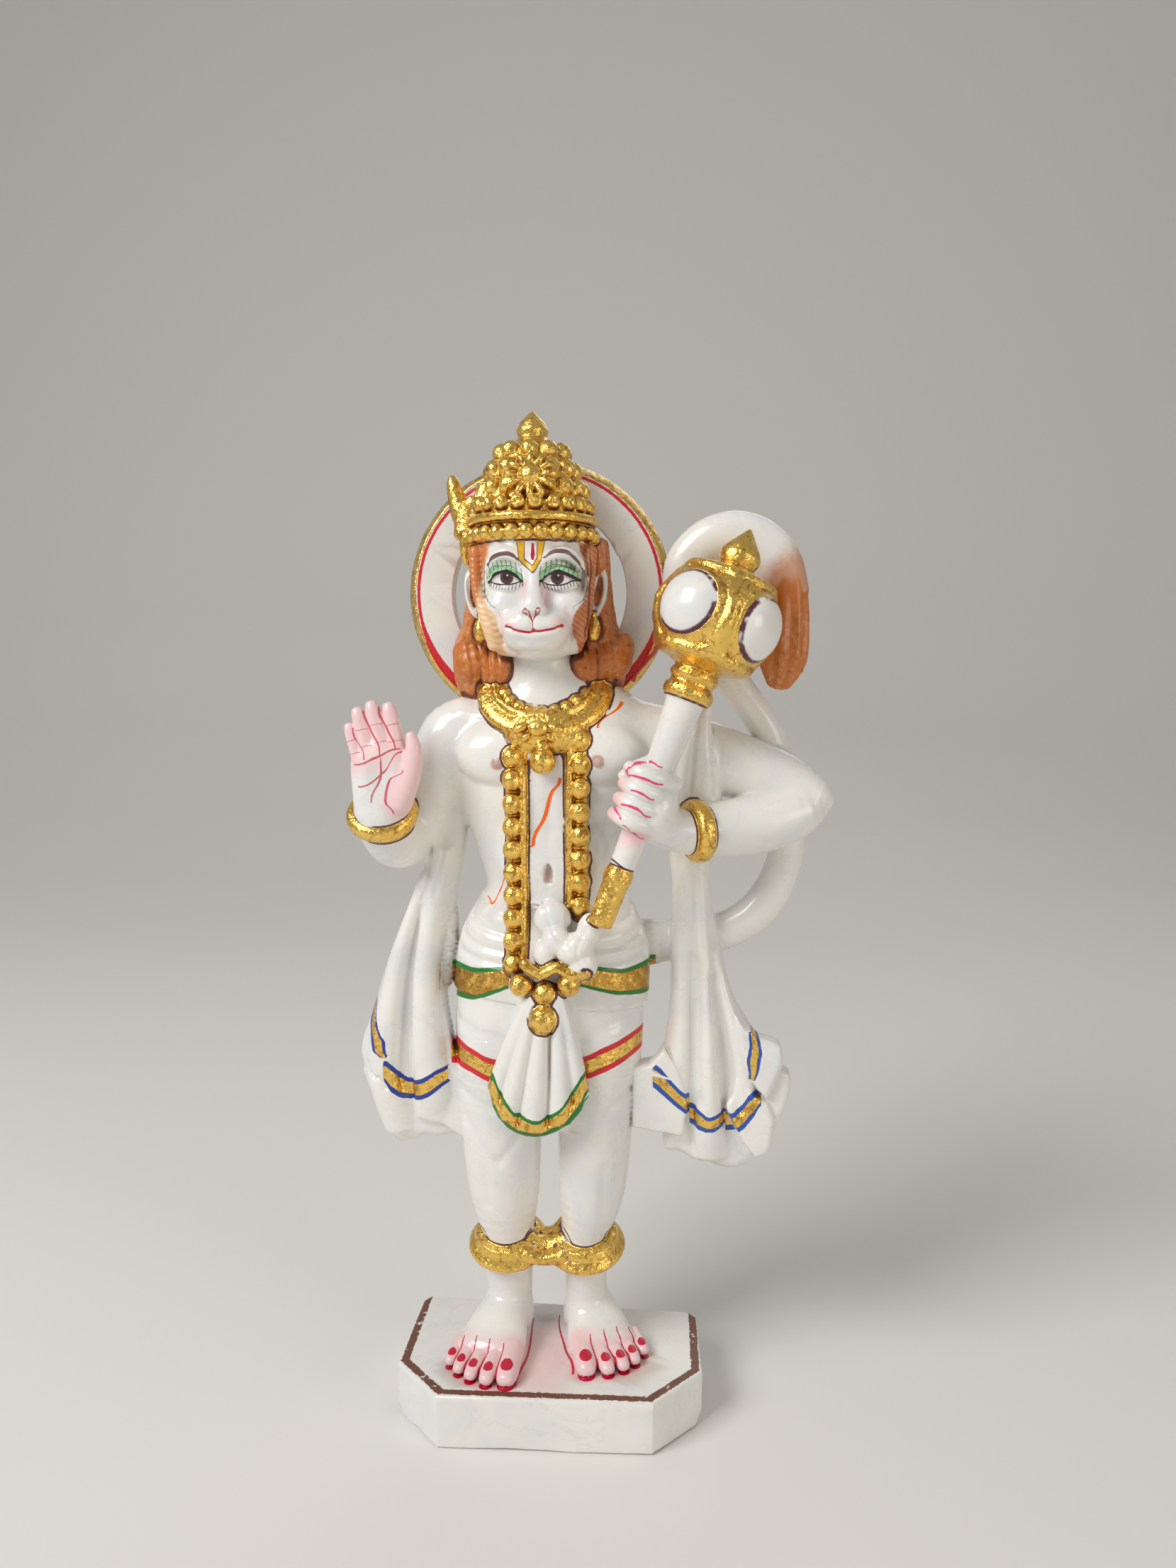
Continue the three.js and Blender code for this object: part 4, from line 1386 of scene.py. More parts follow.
@dataclass(frozen=True)
class Loincloth(Portion):
    """The wrapped loincloth: rolled waist folds, a gilded sash, its knot, and the pleated fall in front."""

    wrap: Rows = (
        (-1.5, 6.2, 73, 23, 11),
        (-1.27, 6.15, 87, 27.8, 14.6),
        (-1.03, 6.1, 101, 29.2, 15.8),
        (-0.8, 6.05, 115, 29.2, 16),
    )
    waist: Rows = (
        (-0.7, 6, 112.8, 30.2, 16.8),
        (-0.18, 6, 118.8, 30.4, 17),
        (0.34, 6, 124.8, 30, 16.8),
        (0.86, 6, 130.8, 29.2, 16.2),
        (1.38, 6, 136.8, 26.8, 14.8),
        (1.9, 6, 142.8, 23.8, 13.2),
    )
    fall: Rows = (
        (0, -9, 118, 7.6, 3.4),
        (-1.6, -9.6, 98, 10.4, 3.8),
        (-2.4, -9.6, 88, 12.6, 3.8),
        (-2.8, -9.6, 80, 9.6, 3.6),
        (-3.4, -9.8, 76.4, 4.4, 2.6),
    )
    pleats: tuple[Rows, ...] = (
        (
            (-3.5, -12, 118, 1.8, 3), (-8, -12.4, 108, 2.4, 3.4), (-12.5, -12.4, 96, 3, 3.4),
            (-15.2, -11.6, 88, 3, 3),
        ),
        (
            (-2.4, -12.6, 118, 1.8, 3), (-5.8, -13.4, 106, 2.4, 3.4), (-9, -13.8, 92, 3.2, 3.6),
            (-11.4, -13.4, 80, 3.4, 3.2),
        ),
        (
            (-0.6, -12.8, 118, 1.8, 3), (-1.8, -13.8, 104, 2.6, 3.6), (-3, -14.4, 90, 3.6, 3.8),
            (-4.4, -14, 77, 4.2, 3.2),
        ),
        (
            (1.6, -12.6, 118, 1.8, 3), (3.4, -13.4, 106, 2.4, 3.4), (4, -13.8, 92, 3.2, 3.6),
            (3.6, -13.4, 79, 3.6, 3.2),
        ),
        (
            (3.4, -12, 118, 1.8, 3), (6.4, -12.4, 106, 2.2, 3.2), (8.4, -12.4, 95, 2.8, 3.4),
            (9.6, -11.6, 86, 2.8, 3),
        ),
    )
    edge: Rows = (
        (-15.8, -11.4, 88, 1.8, 2.8),
        (-14.6, -11.8, 83, 1.9, 2.8),
        (-11, -12.2, 78, 1.9, 2.8),
        (-6.2, -12.6, 76, 1.9, 2.8),
        (-1, -12.8, 76.2, 1.9, 2.8),
        (4.4, -12.4, 78.8, 1.9, 2.8),
        (8.6, -12, 83, 1.9, 2.8),
        (10.2, -11.4, 88.2, 1.8, 2.8),
    )
    knots: tuple[tuple[Triple, Triple, float], ...] = (
        ((1.5, -10.4, 139.4), (5.6, 3.2, 5.2), 0),
        ((3, -12.6, 133.5), (4.6, 4, 4.6), 20),
        ((8.4, -13.4, 131.4), (6, 4.6, 4.6), -35),
        ((12.5, -13, 137), (3.6, 3.6, 5), 10),
        ((10.6, -13, 126.6), (4.6, 4.2, 5), 0),
        ((-0.6, -12, 129), (3.6, 3.6, 4.6), 0),
    )
    folds: tuple[Rows, ...] = (
        ((-25.5, 139.5), (-21.1, 135.8), (-13.5, 133.9)),
        ((-28.1, 134.4), (-23.7, 130.6), (-13.6, 128.8)),
        ((-28.4, 128), (-23.7, 126.2), (-13.6, 125)),
        ((25.9, 140.8), (19.7, 136.3), (13.4, 135.6)),
        ((29.6, 134.5), (22.2, 130.6), (13.4, 129.9)),
        ((30.3, 127.6), (22.8, 126.2), (13.4, 125.4)),
    )

    def carved(self) -> list[Step]:
        """Carves the wrap, the pleats and the knot."""
        steps: list[Step] = [Carving(Limb(self.wrap, ends=0.1), 2), Carving(Limb(self.waist, ends=0.05), 1)]
        steps += [Groove(points, 1.3, 0.95) for points in self.folds]
        thighs = (
            ((-29, 106), (-22, 103.6), (-12, 101)), ((10, 103), (18, 106), (29, 110)), ((-27, 84), (-18, 80)),
            ((26, 86), (17, 80)),
        )
        steps += [Groove(points, 1.6, 0.5) for points in thighs]
        steps.append(Carving(Limb(self.fall), 1.5))
        steps += [Carving(Limb(pleat, ends=0.3), 0.8) for pleat in self.pleats]
        steps.append(Carving(Limb(self.edge, steps=2), 0.9))
        steps += [Carving(Lump(at, radii, lean=lean), 0.8) for at, radii, lean in self.knots]
        creases = (
            ((-1.4, 143.9), (2.3, 135.9), (7.8, 131.6)), ((12, 137.9), (9, 131), (10.8, 126.7)),
            ((5.6, 141), (6.6, 134)),
        )
        return steps + [Groove(points, 0.5, 0.4) for points in creases]

    def painted(self) -> list[Canvas]:
        """Paints the sash, the stripes round the thighs and the fan's green and gold hem."""
        sashes = (
            band(
                ((-31, 123.4), (-28.1, 123.7), (-23.4, 123.1), (-14.6, 124.2)),
                ((-31, 112.4), (-28.6, 112.5), (-23.5, 112.9), (-11.8, 117.9)),
            ),
            band(
                ((12.9, 124.9), (22.9, 123.5), (29.7, 124.9), (32, 125)),
                ((9.8, 118.9), (19.8, 115.9), (29.7, 114.4), (32, 114.4)),
            ),
        )
        thighs = (
            band(
                ((-31, 100.2), (-28.4, 99.7), (-23.6, 98.1), (-14.5, 95.7)),
                ((-31, 91.6), (-28.5, 91.3), (-23.7, 90.7), (-14.5, 88.4)),
            ),
            band(
                ((7.9, 96.8), (16.7, 99.9), (27.3, 103.9), (31, 105)),
                ((7.9, 90), (16.7, 92.2), (27, 96.5), (31, 98)),
            ),
        )
        hem = band(
            (
                (-15.9, 93.4), (-14.2, 88.8), (-11.6, 85.4), (-9.6, 82.6), (-5.6, 81), (-2.4, 80.2),
                (0.9, 81.6), (4.6, 84.4), (7.2, 88.2), (10.2, 93.2), (12.6, 93.6),
            ),
            (
                (-18.6, 90), (-17.2, 83.4), (-14, 79), (-11.1, 76.4), (-7.9, 75), (-2.8, 74.6), (-0.5, 75.2),
                (5.9, 78.2), (9.8, 82.8), (12.6, 88),
            ),
        )
        below = band(
            ((-18.6, 88), (-13, 79), (-8, 75.6), (-2.8, 75.2), (6, 78.8), (12.6, 87)),
            ((-18.6, 60), (12.6, 60)),
        )
        waist = (
            Layer(Pigment.GREEN, sashes, front=14),
            Layer(Pigment.GOLD_LEAF, tuple(middle_of(sash, 0.7) for sash in sashes), front=14),
            Layer(Pigment.RED, thighs, front=14),
            Layer(Pigment.GOLD_LEAF, tuple(middle_of(thigh, 0.54) for thigh in thighs), front=14),
        )
        fan = (
            Layer(Pigment.GREEN, (hem, below), 0.12, 0.3),
            Layer(Pigment.GOLD_LEAF, (middle_of(hem, 0.6),), 0.12, 0.35),
        )
        return [
            Canvas("fan", (-19, -22, 70), (14, -10.2, 97), fan),
            Canvas("waist", (-32, -14, 86), (33, 16, 126), waist),
        ]


@dataclass(frozen=True)
class Torso(Portion):
    """The bare trunk, the neck and the muscles, with the thread across the chest."""

    trunk: Rows = (
        (1.8, 6, 142, 22.8, 12.6),
        (2.2, 6, 150, 22.4, 12.6),
        (1.2, 6, 163, 25.4, 13.8),
        (0.6, 6, 176, 30.6, 15.4),
        (0.4, 6.4, 189, 34, 15.4),
        (0, 7, 198, 32, 13.4),
        (-0.3, 7, 203.8, 24.6, 11.6),
        (-0.6, 7, 207.8, 17.4, 10.4),
        (-0.9, 7, 211.8, 10.8, 9),
    )
    neck: Rows = (
        (-2.9, 5.6, 204, 9.4, 8.6), (-2.9, 5.2, 210, 9.2, 8.4), (-2.9, 4.8, 217, 8.9, 8.2),
        (-2.9, 4.4, 225, 8.8, 8.2),
    )

    def carved(self) -> list[Step]:
        """Carves the trunk, the chest and belly, the navel and the nipples."""
        steps: list[Step] = [Carving(Limb(self.trunk, ends=0.4), 2), Carving(Limb(self.neck, ends=0.2), 2.5)]
        for side in (-1, 1):
            steps.append(Carving(Lump((side * 14.5 + 0.5, -3.6, 187.6), (14, 7, 9.4)), 3))
            steps.append(Carving(Lump((side * 14.8 + 0.4, -10.3, 185.8), (1.3, 1, 1.3)), 0.8))
        steps += [
            Carving(Lump((1, -4.4, 156), (15, 4.6, 13)), 5),
            Carving(Lump((0.1, -9.6, 152.4), (1.5, 3, 3.2)), 0.8, tool=Tool.CUT),
            Groove(
                ((-28.8, 186.4), (-26.8, 182.3), (-23.2, 179.9), (-18.5, 178.8), (-13.2, 178.2)), 1.2, 0.5
            ),
            Groove(((28, 184), (24, 180.4), (18, 178.8), (12, 178.6)), 1.2, 0.5),
            Groove(((1, 192), (0.6, 178), (0.4, 163)), 1.6, 0.4),
            Groove(((-14, 168), (-8, 165.6), (0, 166), (8, 165.6), (14, 168)), 1.6, 0.3),
        ]
        spine = Limb(((0.8, 22.6, 190, 1.6, 2), (1.4, 21.2, 165, 1.6, 2), (1.8, 20, 150, 1.6, 2)))
        return [*steps, Carving(spine, 2, tool=Tool.CUT)]

    def painted(self) -> list[Canvas]:
        """Paints the orange thread and the nipples."""
        thread = (
            line(((19.9, 208.7), (22, 206.4), (21.4, 202.9), (14.7, 195.9)), 0.62, True),
            line(((3.7, 181.3), (1.1, 176.6), (-0.7, 170.2), (-4.3, 161)), 0.62, True, ends=0.9),
            line(((-4.3, 161), (-8.4, 156.6), (-13, 151.5), (-15.1, 146.6), (-18, 142.4)), 0.55),
            line(((-18, 142.4), (-19.8, 142.2), (-20.6, 146.4), (-20.3, 148.6)), 0.45, True),
        )
        nipples = (Spot(-14.8, 185.4, 1.9, 1.9), Spot(14.8, 186.4, 1.9, 1.9))
        navel = Stroke(((0.1, 149.9, 1.4), (0.1, 152, 1.3), (0.1, 155.9, 0.3)), True)
        layers = (
            Layer(Pigment.SKIN_BROWN, nipples, 0.5, 0.4, 0.75, front=-6),
            Layer(Pigment.SKIN_BROWN, (navel,), 0.3, 0.2, 0.55, front=-6),
            Layer(Pigment.ORANGE, thread, front=0),
        )
        return [Canvas("chest", (-30, -16, 128), (32, 2, 212), layers)]


@dataclass(frozen=True)
class ClubArm(Portion):
    """The figure's left arm, bent out to the side, with a bracelet and a fist round the mace."""

    upper: Rows = (
        (24, 6.6, 193, 9, 8.6),
        (31, 6.6, 192, 10.6, 9.4),
        (43, 6.4, 188, 11, 8.8),
        (56, 6, 184, 10.2, 8.4),
        (70, 5.2, 180, 8.2, 7.6),
        (79.4, 4.4, 175.6, 5.6, 6),
        (83, 4.2, 173.4, 2.6, 3),
    )
    fore: Rows = (
        (82.6, 4.2, 174, 2.6, 3),
        (75, 2.8, 170.8, 7.6, 7.6),
        (64, -0.4, 167.6, 9, 8.2),
        (52, -4.4, 166.2, 8.2, 7.4),
        (46, -6.6, 165.8, 7.4, 7),
        (40.2, -9.2, 165.6, 6.6, 6.4),
        (34, -12.6, 168, 6.4, 6.4),
    )
    bracelet: Rows = ((0, -2.3), (8.3, -2.3), (9.1, -1.5), (9.4, 0), (9.1, 1.5), (8.3, 2.3), (0, 2.3))

    def carved(self) -> list[Step]:
        """Carves the arm, the fist and the bracelet."""
        steps: list[Step] = [Carving(Limb(self.upper), 3), Carving(Limb(self.fore), 2)]
        steps.append(
            Carving(Turning((44, -7.4, 165.6), (0.906, 0.418, 0.062), self.bracelet, 0.2), 0.3, Coat.GOLD)
        )
        steps.append(Carving(Lump((32, -15, 172.4), (6.4, 7.4, 9.4), lean=17), 2))
        for blushed in (Lump((19.4, -21, 177), (1.6, 3, 7), lean=17), Lump((25.4, -20, 165), (3, 3, 1.2))):
            steps.append(Carving(blushed, coat=Coat.ROSE, tool=Tool.NONE))
        for t in (0, 1 / 3, 2 / 3, 1):
            x, z = between((29.2, 183.2), (24.6, 170), t)
            rows = (
                (x + 8, -16, z - 3, 2.4, 2.6),
                (x + 4, -20.6, z - 1.4, 2.5, 2.7),
                (x, -22, z, 2.6, 2.7),
                (x - 2.8, -20.6, z + 1.2, 2.4, 2.5),
                (x - 4.6, -17.6, z + 1.8, 2.1, 2.2),
            )
            steps.append(Carving(Limb(rows), 0.5))
        thumb = Limb(((30, -13, 186, 2.4, 2.4), (26, -15, 184.6, 2.3, 2.3), (22, -16, 182.4, 1.3, 1.3)))
        return [*steps, Carving(thumb, 0.8)]

    def painted(self) -> list[Canvas]:
        """Paints the red lines between the fingers and round the fist."""
        marks = (
            line(((24.4, 183.2), (28.6, 182.4), (34, 180.7)), 0.5),
            line(((24.8, 179.1), (28, 178.2), (31.5, 176.4)), 0.45),
            line(((22, 175), (26.4, 174), (30.5, 171.4)), 0.5),
            line(((24, 185.2), (26.4, 186.6), (30, 186.7), (33.7, 185.2)), 0.4),
            line(((24.2, 185.6), (23.6, 184), (24.4, 182.6)), 0.4, True),
            line(((19.7, 174.9), (20.4, 173.4), (22, 170.8)), 0.45, True),
            line(((22.4, 169.2), (25.4, 166.6), (28.6, 164.6)), 0.3),
        )
        ring = Layer(Pigment.PLUM, (line(((16, 159.1), (28, 154.6)), 0.65),))
        return [
            Canvas("fist", (14, -28, 161), (41, -12.5, 192), (Layer(Pigment.ROSE, marks, front=-12),)),
            Canvas("ferrule", (14, -25, 152), (30, -10, 161), (ring,)),
        ]


@dataclass(frozen=True)
class BlessingArm(Portion):
    """The figure's right arm, bent up in front, with a bracelet and an open palm."""

    upper: Rows = (
        (-26, 6.8, 198, 7.4, 8),
        (-31, 6.6, 193, 9.6, 9.2),
        (-35, 6, 182, 9.6, 9),
        (-39.4, 5, 171, 9.4, 9),
        (-43.6, 3.4, 163.6, 9, 9),
        (-46, 1, 160.6, 7.6, 7.6),
    )
    fore: Rows = (
        (-43.4, 6, 161.6, 8, 6.6),
        (-46.4, -1, 162, 9.4, 9.2),
        (-48.8, -7, 166, 8.6, 7.8),
        (-49.2, -10.6, 171, 7.8, 6.4),
    )
    palm: Rows = (
        (-49.4, -11.4, 169, 7, 5.6),
        (-48.8, -12.6, 173, 8.4, 5.2),
        (-47.9, -13.4, 180, 9.4, 4.4),
        (-48.6, -13.8, 187, 8.9, 3.6),
        (-49.4, -13.8, 191, 6.4, 2.8),
    )
    fingers: tuple[tuple[Triple, Triple, float], ...] = (
        ((-54.6, -13.8, 185), (-57.8, -14, 196.6), 1.95),
        ((-51, -13.8, 186), (-55.2, -14.2, 201), 2.4),
        ((-46.8, -13.8, 187), (-51, -14.4, 202.8), 2.55),
        ((-42.8, -13.8, 187.6), (-46, -14.2, 202.4), 2.5),
    )
    thumb: Rows = (
        (-43, -14.6, 174, 3.8, 3.6),
        (-39.6, -15.6, 182, 3.2, 3),
        (-38.2, -16.2, 189.6, 2.5, 2.4),
        (-39, -16.4, 194, 1.5, 1.5),
    )

    def carved(self) -> list[Step]:
        """Carves the arm, the palm, the fingers and the bracelet."""
        steps: list[Step] = [
            Carving(Limb(self.upper), 3), Carving(Limb(self.fore, UP), 2), Carving(Limb(self.palm), 2)
        ]
        for root, tip, thick in self.fingers:
            rows = (
                (*root, thick, thick),
                (*between(root, tip, 0.5), thick * 0.97, thick),
                (*between(root, tip, 0.85), thick * 0.9, thick * 0.9),
                (*tip, thick * 0.7, thick * 0.66),
            )
            steps += [Carving(Limb(rows), 0.45), Carving(Limb(rows), coat=Coat.ROSE, tool=Tool.NONE)]
        thumb = Limb(self.thumb)
        steps += [Carving(thumb, 1.2), Carving(thumb, coat=Coat.ROSE, tool=Tool.NONE)]
        hollow = Lump((-48.2, -19.6, 181), (4.6, 3, 6))
        bracelet = Ring((-49.4, -8.8, 170.2), 8.8, 8.2, 2, 2.7, tip=42)
        return [*steps, Carving(hollow, 2, tool=Tool.CUT), Carving(bracelet, 0.4, Coat.GOLD)]

    def painted(self) -> list[Canvas]:
        """Paints the palm's lines and the creases of the fingers."""
        lines = [
            line(((-53.3, 202.4), (-51.1, 196.1), (-48, 188.3)), 0.4, True),
            line(((-48.6, 202.4), (-45.8, 195.5), (-43.6, 189.8)), 0.4, True),
            line(((-56.3, 196.1), (-52.7, 186.9)), 0.4, True),
            line(((-55.9, 185.4), (-49, 187.6), (-42.1, 190.1)), 0.4),
            line(((-54.6, 179), (-46.9, 183.4), (-41.6, 189.2)), 0.4),
            line(((-50.6, 174.4), (-47.8, 182.8), (-47.7, 187.5)), 0.4, True),
            line(((-44.2, 171.2), (-46.4, 175.3), (-45.2, 181.1), (-41.1, 184)), 0.4, True),
        ]
        for root, tip, thick in self.fingers:
            for t in (0.3, 0.62):
                x, _, z = between(root, tip, t + 0.02)
                lines.append(line(((x - thick * 0.8, z - 0.3), (x + thick * 0.8, z + 0.3)), 0.2))
        layers = (Layer(Pigment.CRIMSON, tuple(lines), 0.14, 0.1, 0.85, front=-13.6),)
        return [Canvas("palm", (-63, -24, 167), (-33, -8, 208), layers)]


@dataclass(frozen=True)
class Shawl(Portion):
    """The shawl that hangs from both arms in long folds with striped, ruffled hems."""

    right_sheet: Rows = (
        (-39.9, 151.4), (-44.5, 139), (-49.2, 126.6), (-53.9, 116.3), (-57, 105.9), (-60.1, 97.8),
        (-60.8, 93.2), (-60, 89.6), (-60.2, 86.6), (-57.9, 80.6), (-55, 72.5), (-52.8, 67.8), (-49, 64.2),
        (-46.7, 64.1), (-43.2, 65.1), (-40, 66.6), (-37.3, 65.9), (-31.8, 66.8), (-25, 66.2), (-25, 78),
        (-29.3, 89.2), (-31.9, 98.4), (-33.4, 108), (-33.6, 112), (-31.3, 119.3), (-30.3, 130.2),
        (-30.4, 140.3), (-28.7, 150.4), (-26.8, 160), (-26.2, 170), (-26, 182), (-31, 188), (-37, 178),
        (-40.4, 160),
    )
    right_flap: Rows = (
        (-43.6, 108.1), (-44.4, 99), (-43.9, 89.9), (-42.9, 78.5), (-42.5, 73.5), (-40.3, 72.8),
        (-34.6, 71.8), (-31.3, 69.6), (-27.5, 67.3), (-25, 67.3), (-26.4, 82), (-28.8, 90.2), (-31.4, 99.3),
        (-33.4, 108.3), (-34.1, 117.3), (-39.7, 121.7),
    )
    left_sheet: Rows = (
        (36.4, 164), (36.1, 155.4), (37, 148.7), (37.2, 139.9), (37.1, 131), (36.9, 123.1), (36.7, 113),
        (36.1, 106.2), (34.9, 97.1), (32.2, 92.1), (25.4, 90.2), (25.4, 71.2), (34.3, 69.7), (34.4, 66.3),
        (35, 63.5), (36.8, 62.9), (39.1, 63.1), (41.3, 62.1), (43.5, 60.7), (45.8, 59.6), (47.3, 60.1),
        (49.1, 59.5), (51.3, 58.6), (54.7, 57.8), (58, 58.1), (61.3, 60), (63.5, 62.1), (66.8, 63.1),
        (68.3, 65.9), (68.5, 68.2), (70, 72.8), (71.7, 75.1), (73.6, 82), (74.2, 86.6), (73.5, 88.8),
        (71, 91), (71.4, 95.6), (70.7, 97.8), (68.5, 98.9), (65.2, 99.5), (63, 101.1), (60.8, 104.4),
        (57.4, 110), (54.7, 115.5), (53.4, 120), (52.5, 125.6), (50.6, 133.4), (49.7, 140), (49, 148.9),
        (48.6, 164),
    )
    flaps: tuple[tuple[Rows, float, float, float], ...] = (
        (
            (
                (25, 91.3), (30, 92.1), (34.8, 97.1), (38.8, 91.6), (41.7, 83.7), (42.2, 78.1), (41.6, 73.5),
                (40.7, 70.1), (39, 70), (35.6, 70.9), (32.3, 71), (27.9, 72.1), (25, 72.5),
            ),
            -1, 6, 1.3,
        ),
        (
            (
                (65.1, 90.6), (70.8, 91.4), (73.4, 89.7), (73.9, 87.4), (73.3, 81.8), (70.8, 75.4),
                (68, 69.9), (62, 75.9),
            ),
            1, 9, 2.2,
        ),
        (
            (
                (56.3, 89.7), (61.8, 84.1), (66.7, 80.9), (68.9, 75.9), (68.1, 69.6), (67.7, 66.9),
                (66, 64.5), (62.5, 63.3), (59, 68), (56.3, 73.4), (53.6, 78.8),
            ),
            -1.6, 8, 2,
        ),
        (
            (
                (56.3, 108.7), (59.4, 105.4), (63.2, 101.4), (68.2, 100), (70.3, 98.9), (71, 96.2),
                (70.9, 92.9), (68.3, 86.5), (66.2, 82.2), (63.6, 84.4), (59.6, 92), (56.9, 99.8),
            ),
            -2, 8, 2,
        ),
    )
    ridges: tuple[Rows, ...] = (
        (
            (-34, 3.5, 157, 3.2, 3.2), (-36, 2.2, 144.5, 3.6, 3.6), (-38, 1.6, 133, 4, 4),
            (-39.2, 1, 122, 4.4, 4.4), (-39, 0.8, 108.7, 4.8, 4.6), (-38.2, 1.2, 95, 5.4, 4.4),
            (-36.6, 2, 81.5, 5.8, 4), (-36, 3.2, 74, 5, 3),
        ),
        (
            (-38.5, 3.4, 148.8, 2.4, 3), (-44.2, 2.8, 133, 3, 3.4), (-47.6, 2.4, 122, 3.6, 3.8),
            (-49.8, 2.2, 110, 4.2, 4), (-51.6, 2.2, 99, 5.2, 4), (-52, 2.6, 88, 5.6, 4),
            (-50.2, 3.2, 78, 5.2, 3.6), (-48.2, 4, 70, 4.4, 3),
        ),
        (
            (44.6, 3.6, 158, 3.2, 3), (44.8, 3.4, 151.9, 2.8, 3), (46.1, 2.8, 130.1, 2.8, 3.4),
            (47.5, 1.8, 114.7, 2.8, 3.8), (48.1, 1.2, 92.4, 3.2, 4), (48.7, 1.8, 74.4, 4.2, 3.8),
            (49.2, 3.4, 63.6, 4.6, 3),
        ),
        (
            (50, 5.2, 125.7, 1.6, 2.6), (52.7, 4.2, 114.7, 2.2, 3.2), (55.4, 3.4, 105.9, 2.6, 3.6),
            (58, 3, 94.8, 3, 3.8), (60, 3.2, 84, 3.6, 3.8), (60.6, 4, 74, 3.4, 3.4),
        ),
        (
            (40.6, 4.8, 152, 2.2, 2.4), (40.2, 4.2, 127.8, 2.6, 3), (40.6, 3.6, 110, 3, 3.2),
            (40, 3.4, 96.7, 3.6, 3.4), (39.4, 3.6, 84, 3.8, 3.2), (39.4, 4.4, 70, 3.6, 3),
        ),
    )
    crack: Rows = ((53.5, 79.1), (54.8, 76.4), (55.7, 73.7), (57.5, 71.3), (58.8, 68.6), (62.4, 64.1))
    over_arm: Rows = (
        (46.6, -1, 202, 1.6, 1.6),
        (45.2, -1.2, 191, 4.4, 4),
        (44.6, 0, 176, 7, 4.4),
        (43, 4, 166, 7, 5),
    )

    def carved(self) -> list[Step]:
        """Carves the hanging folds and the cloth over the left arm."""
        steps: list[Step] = [
            Carving(Slab(self.right_sheet, 2.8, 12.2, 3.4, True), 2),
            Carving(Slab(self.left_sheet, 3.2, 12.6, 3.4, True), 2),
        ]
        steps += [Carving(Limb(rows), 2.6) for rows in self.ridges]
        steps.append(Carving(Slab(self.right_flap, 0.2, 6, 1.6, True), 0.7))
        steps += [
            Carving(Slab(outline, near, far, worn, True), 0.6) for outline, near, far, worn in self.flaps
        ]
        steps.append(Carving(Limb(self.over_arm), 1.4))
        cuts = (
            (((-36.6, 160), (-37.6, 150), (-39.6, 143)), 0.8, 0.7),
            (((-32.9, 160), (-34, 152.3), (-35.5, 144.5)), 0.8, 0.6),
            (
                ((-40.4, 140.1), (-42.6, 126.7), (-44.4, 113.2), (-45.6, 101.9), (-46.8, 90.5), (-46, 83.7)),
                2.2, 1.3,
            ),
            (((-61, 93.9), (-57.8, 90.4), (-55.6, 86.6), (-53.4, 86.7), (-51.6, 83.3)), 0.6, 1.1),
            (((-43.2, 76), (-42.6, 70), (-41, 66)), 0.6, 0.8),
            (((48.2, 199), (48.7, 188), (49.4, 177)), 0.7, 0.6),
            (((43.6, 196), (42.8, 186), (41.8, 177)), 0.7, 0.6),
            (((44.6, 124), (44.2, 105.7), (44.4, 92.3), (45.4, 82.3)), 2.2, 1.2),
            (((49.6, 119), (51.4, 108.1), (53.7, 97), (55.6, 85.9), (57.6, 79)), 2, 1.2),
            (((55.4, 118), (57.6, 110), (60.6, 101)), 1, 0.5),
            (((41.8, 75.4), (43.4, 69), (44.6, 62.4)), 0.9, 0.5),
            (self.crack, 0.32, 0.9),
        )
        return steps + [Groove(points, width, depth) for points, width, depth in cuts]

    def painted(self) -> list[Canvas]:
        """Paints the blue and gold stripes near the hems."""
        right = (
            band(
                ((-55.2, 112), (-54.8, 110.5), (-54.2, 104.8), (-52.7, 100.3), (-51.4, 98.5), (-51, 93.4)),
                ((-55.8, 112), (-56.6, 107), (-57.2, 104.3), (-56.2, 98), (-55.6, 95.1), (-53.3, 93.4)),
                True,
            ),
            band(
                (
                    (-50.8, 92.1), (-49.3, 90.5), (-47.5, 87.8), (-45.3, 86), (-43.1, 85.8), (-39.7, 87.3),
                    (-35.2, 90.1), (-27, 92.6),
                ),
                (
                    (-52.1, 85.2), (-49.8, 82), (-47.6, 80.3), (-44.3, 79.2), (-40.9, 79.7), (-37.5, 81.6),
                    (-33, 85.1), (-27, 87.4),
                ),
            ),
        )
        left = (
            band(
                ((31.6, 93), (33.8, 91.5), (36.6, 88.1), (39.9, 84.6), (42.6, 83.1)),
                ((31.4, 85.6), (35.6, 82), (39.5, 78.7), (42.6, 77)),
            ),
            band(
                ((43.2, 79.9), (46.5, 78), (48.7, 76.7), (50.9, 77.4), (53.1, 78.1)),
                ((42.8, 73.4), (45.5, 72.1), (49.9, 71.8), (54, 73.6)),
            ),
            band(
                ((53.9, 77.9), (55.7, 77.8), (58.5, 80.3), (60.6, 83.7), (62.4, 84.6)),
                ((55.6, 71), (56.8, 71.2), (59.6, 73.6), (62.2, 77), (64.4, 80.6)),
            ),
            band(
                ((60.4, 103.3), (60.6, 99.3), (59.8, 94.4), (60.7, 90)),
                ((63.6, 101.8), (64.5, 97.2), (63.6, 91.6), (62.5, 88.4)),
                True,
            ),
        )
        leaf = Pigment.GOLD_LEAF
        deep = (
            Layer(Pigment.BLUE, right, front=9),
            Layer(leaf, tuple(middle_of(s, 0.56) for s in right), front=9),
        )
        light = (
            Layer(Pigment.SKY, left, front=9),
            Layer(leaf, tuple(middle_of(s, 0.52) for s in left), front=9),
            Layer(Pigment.WHITE, (line(self.crack, 0.4, True),), 0.2, 0.5, 0.8, front=9),
        )
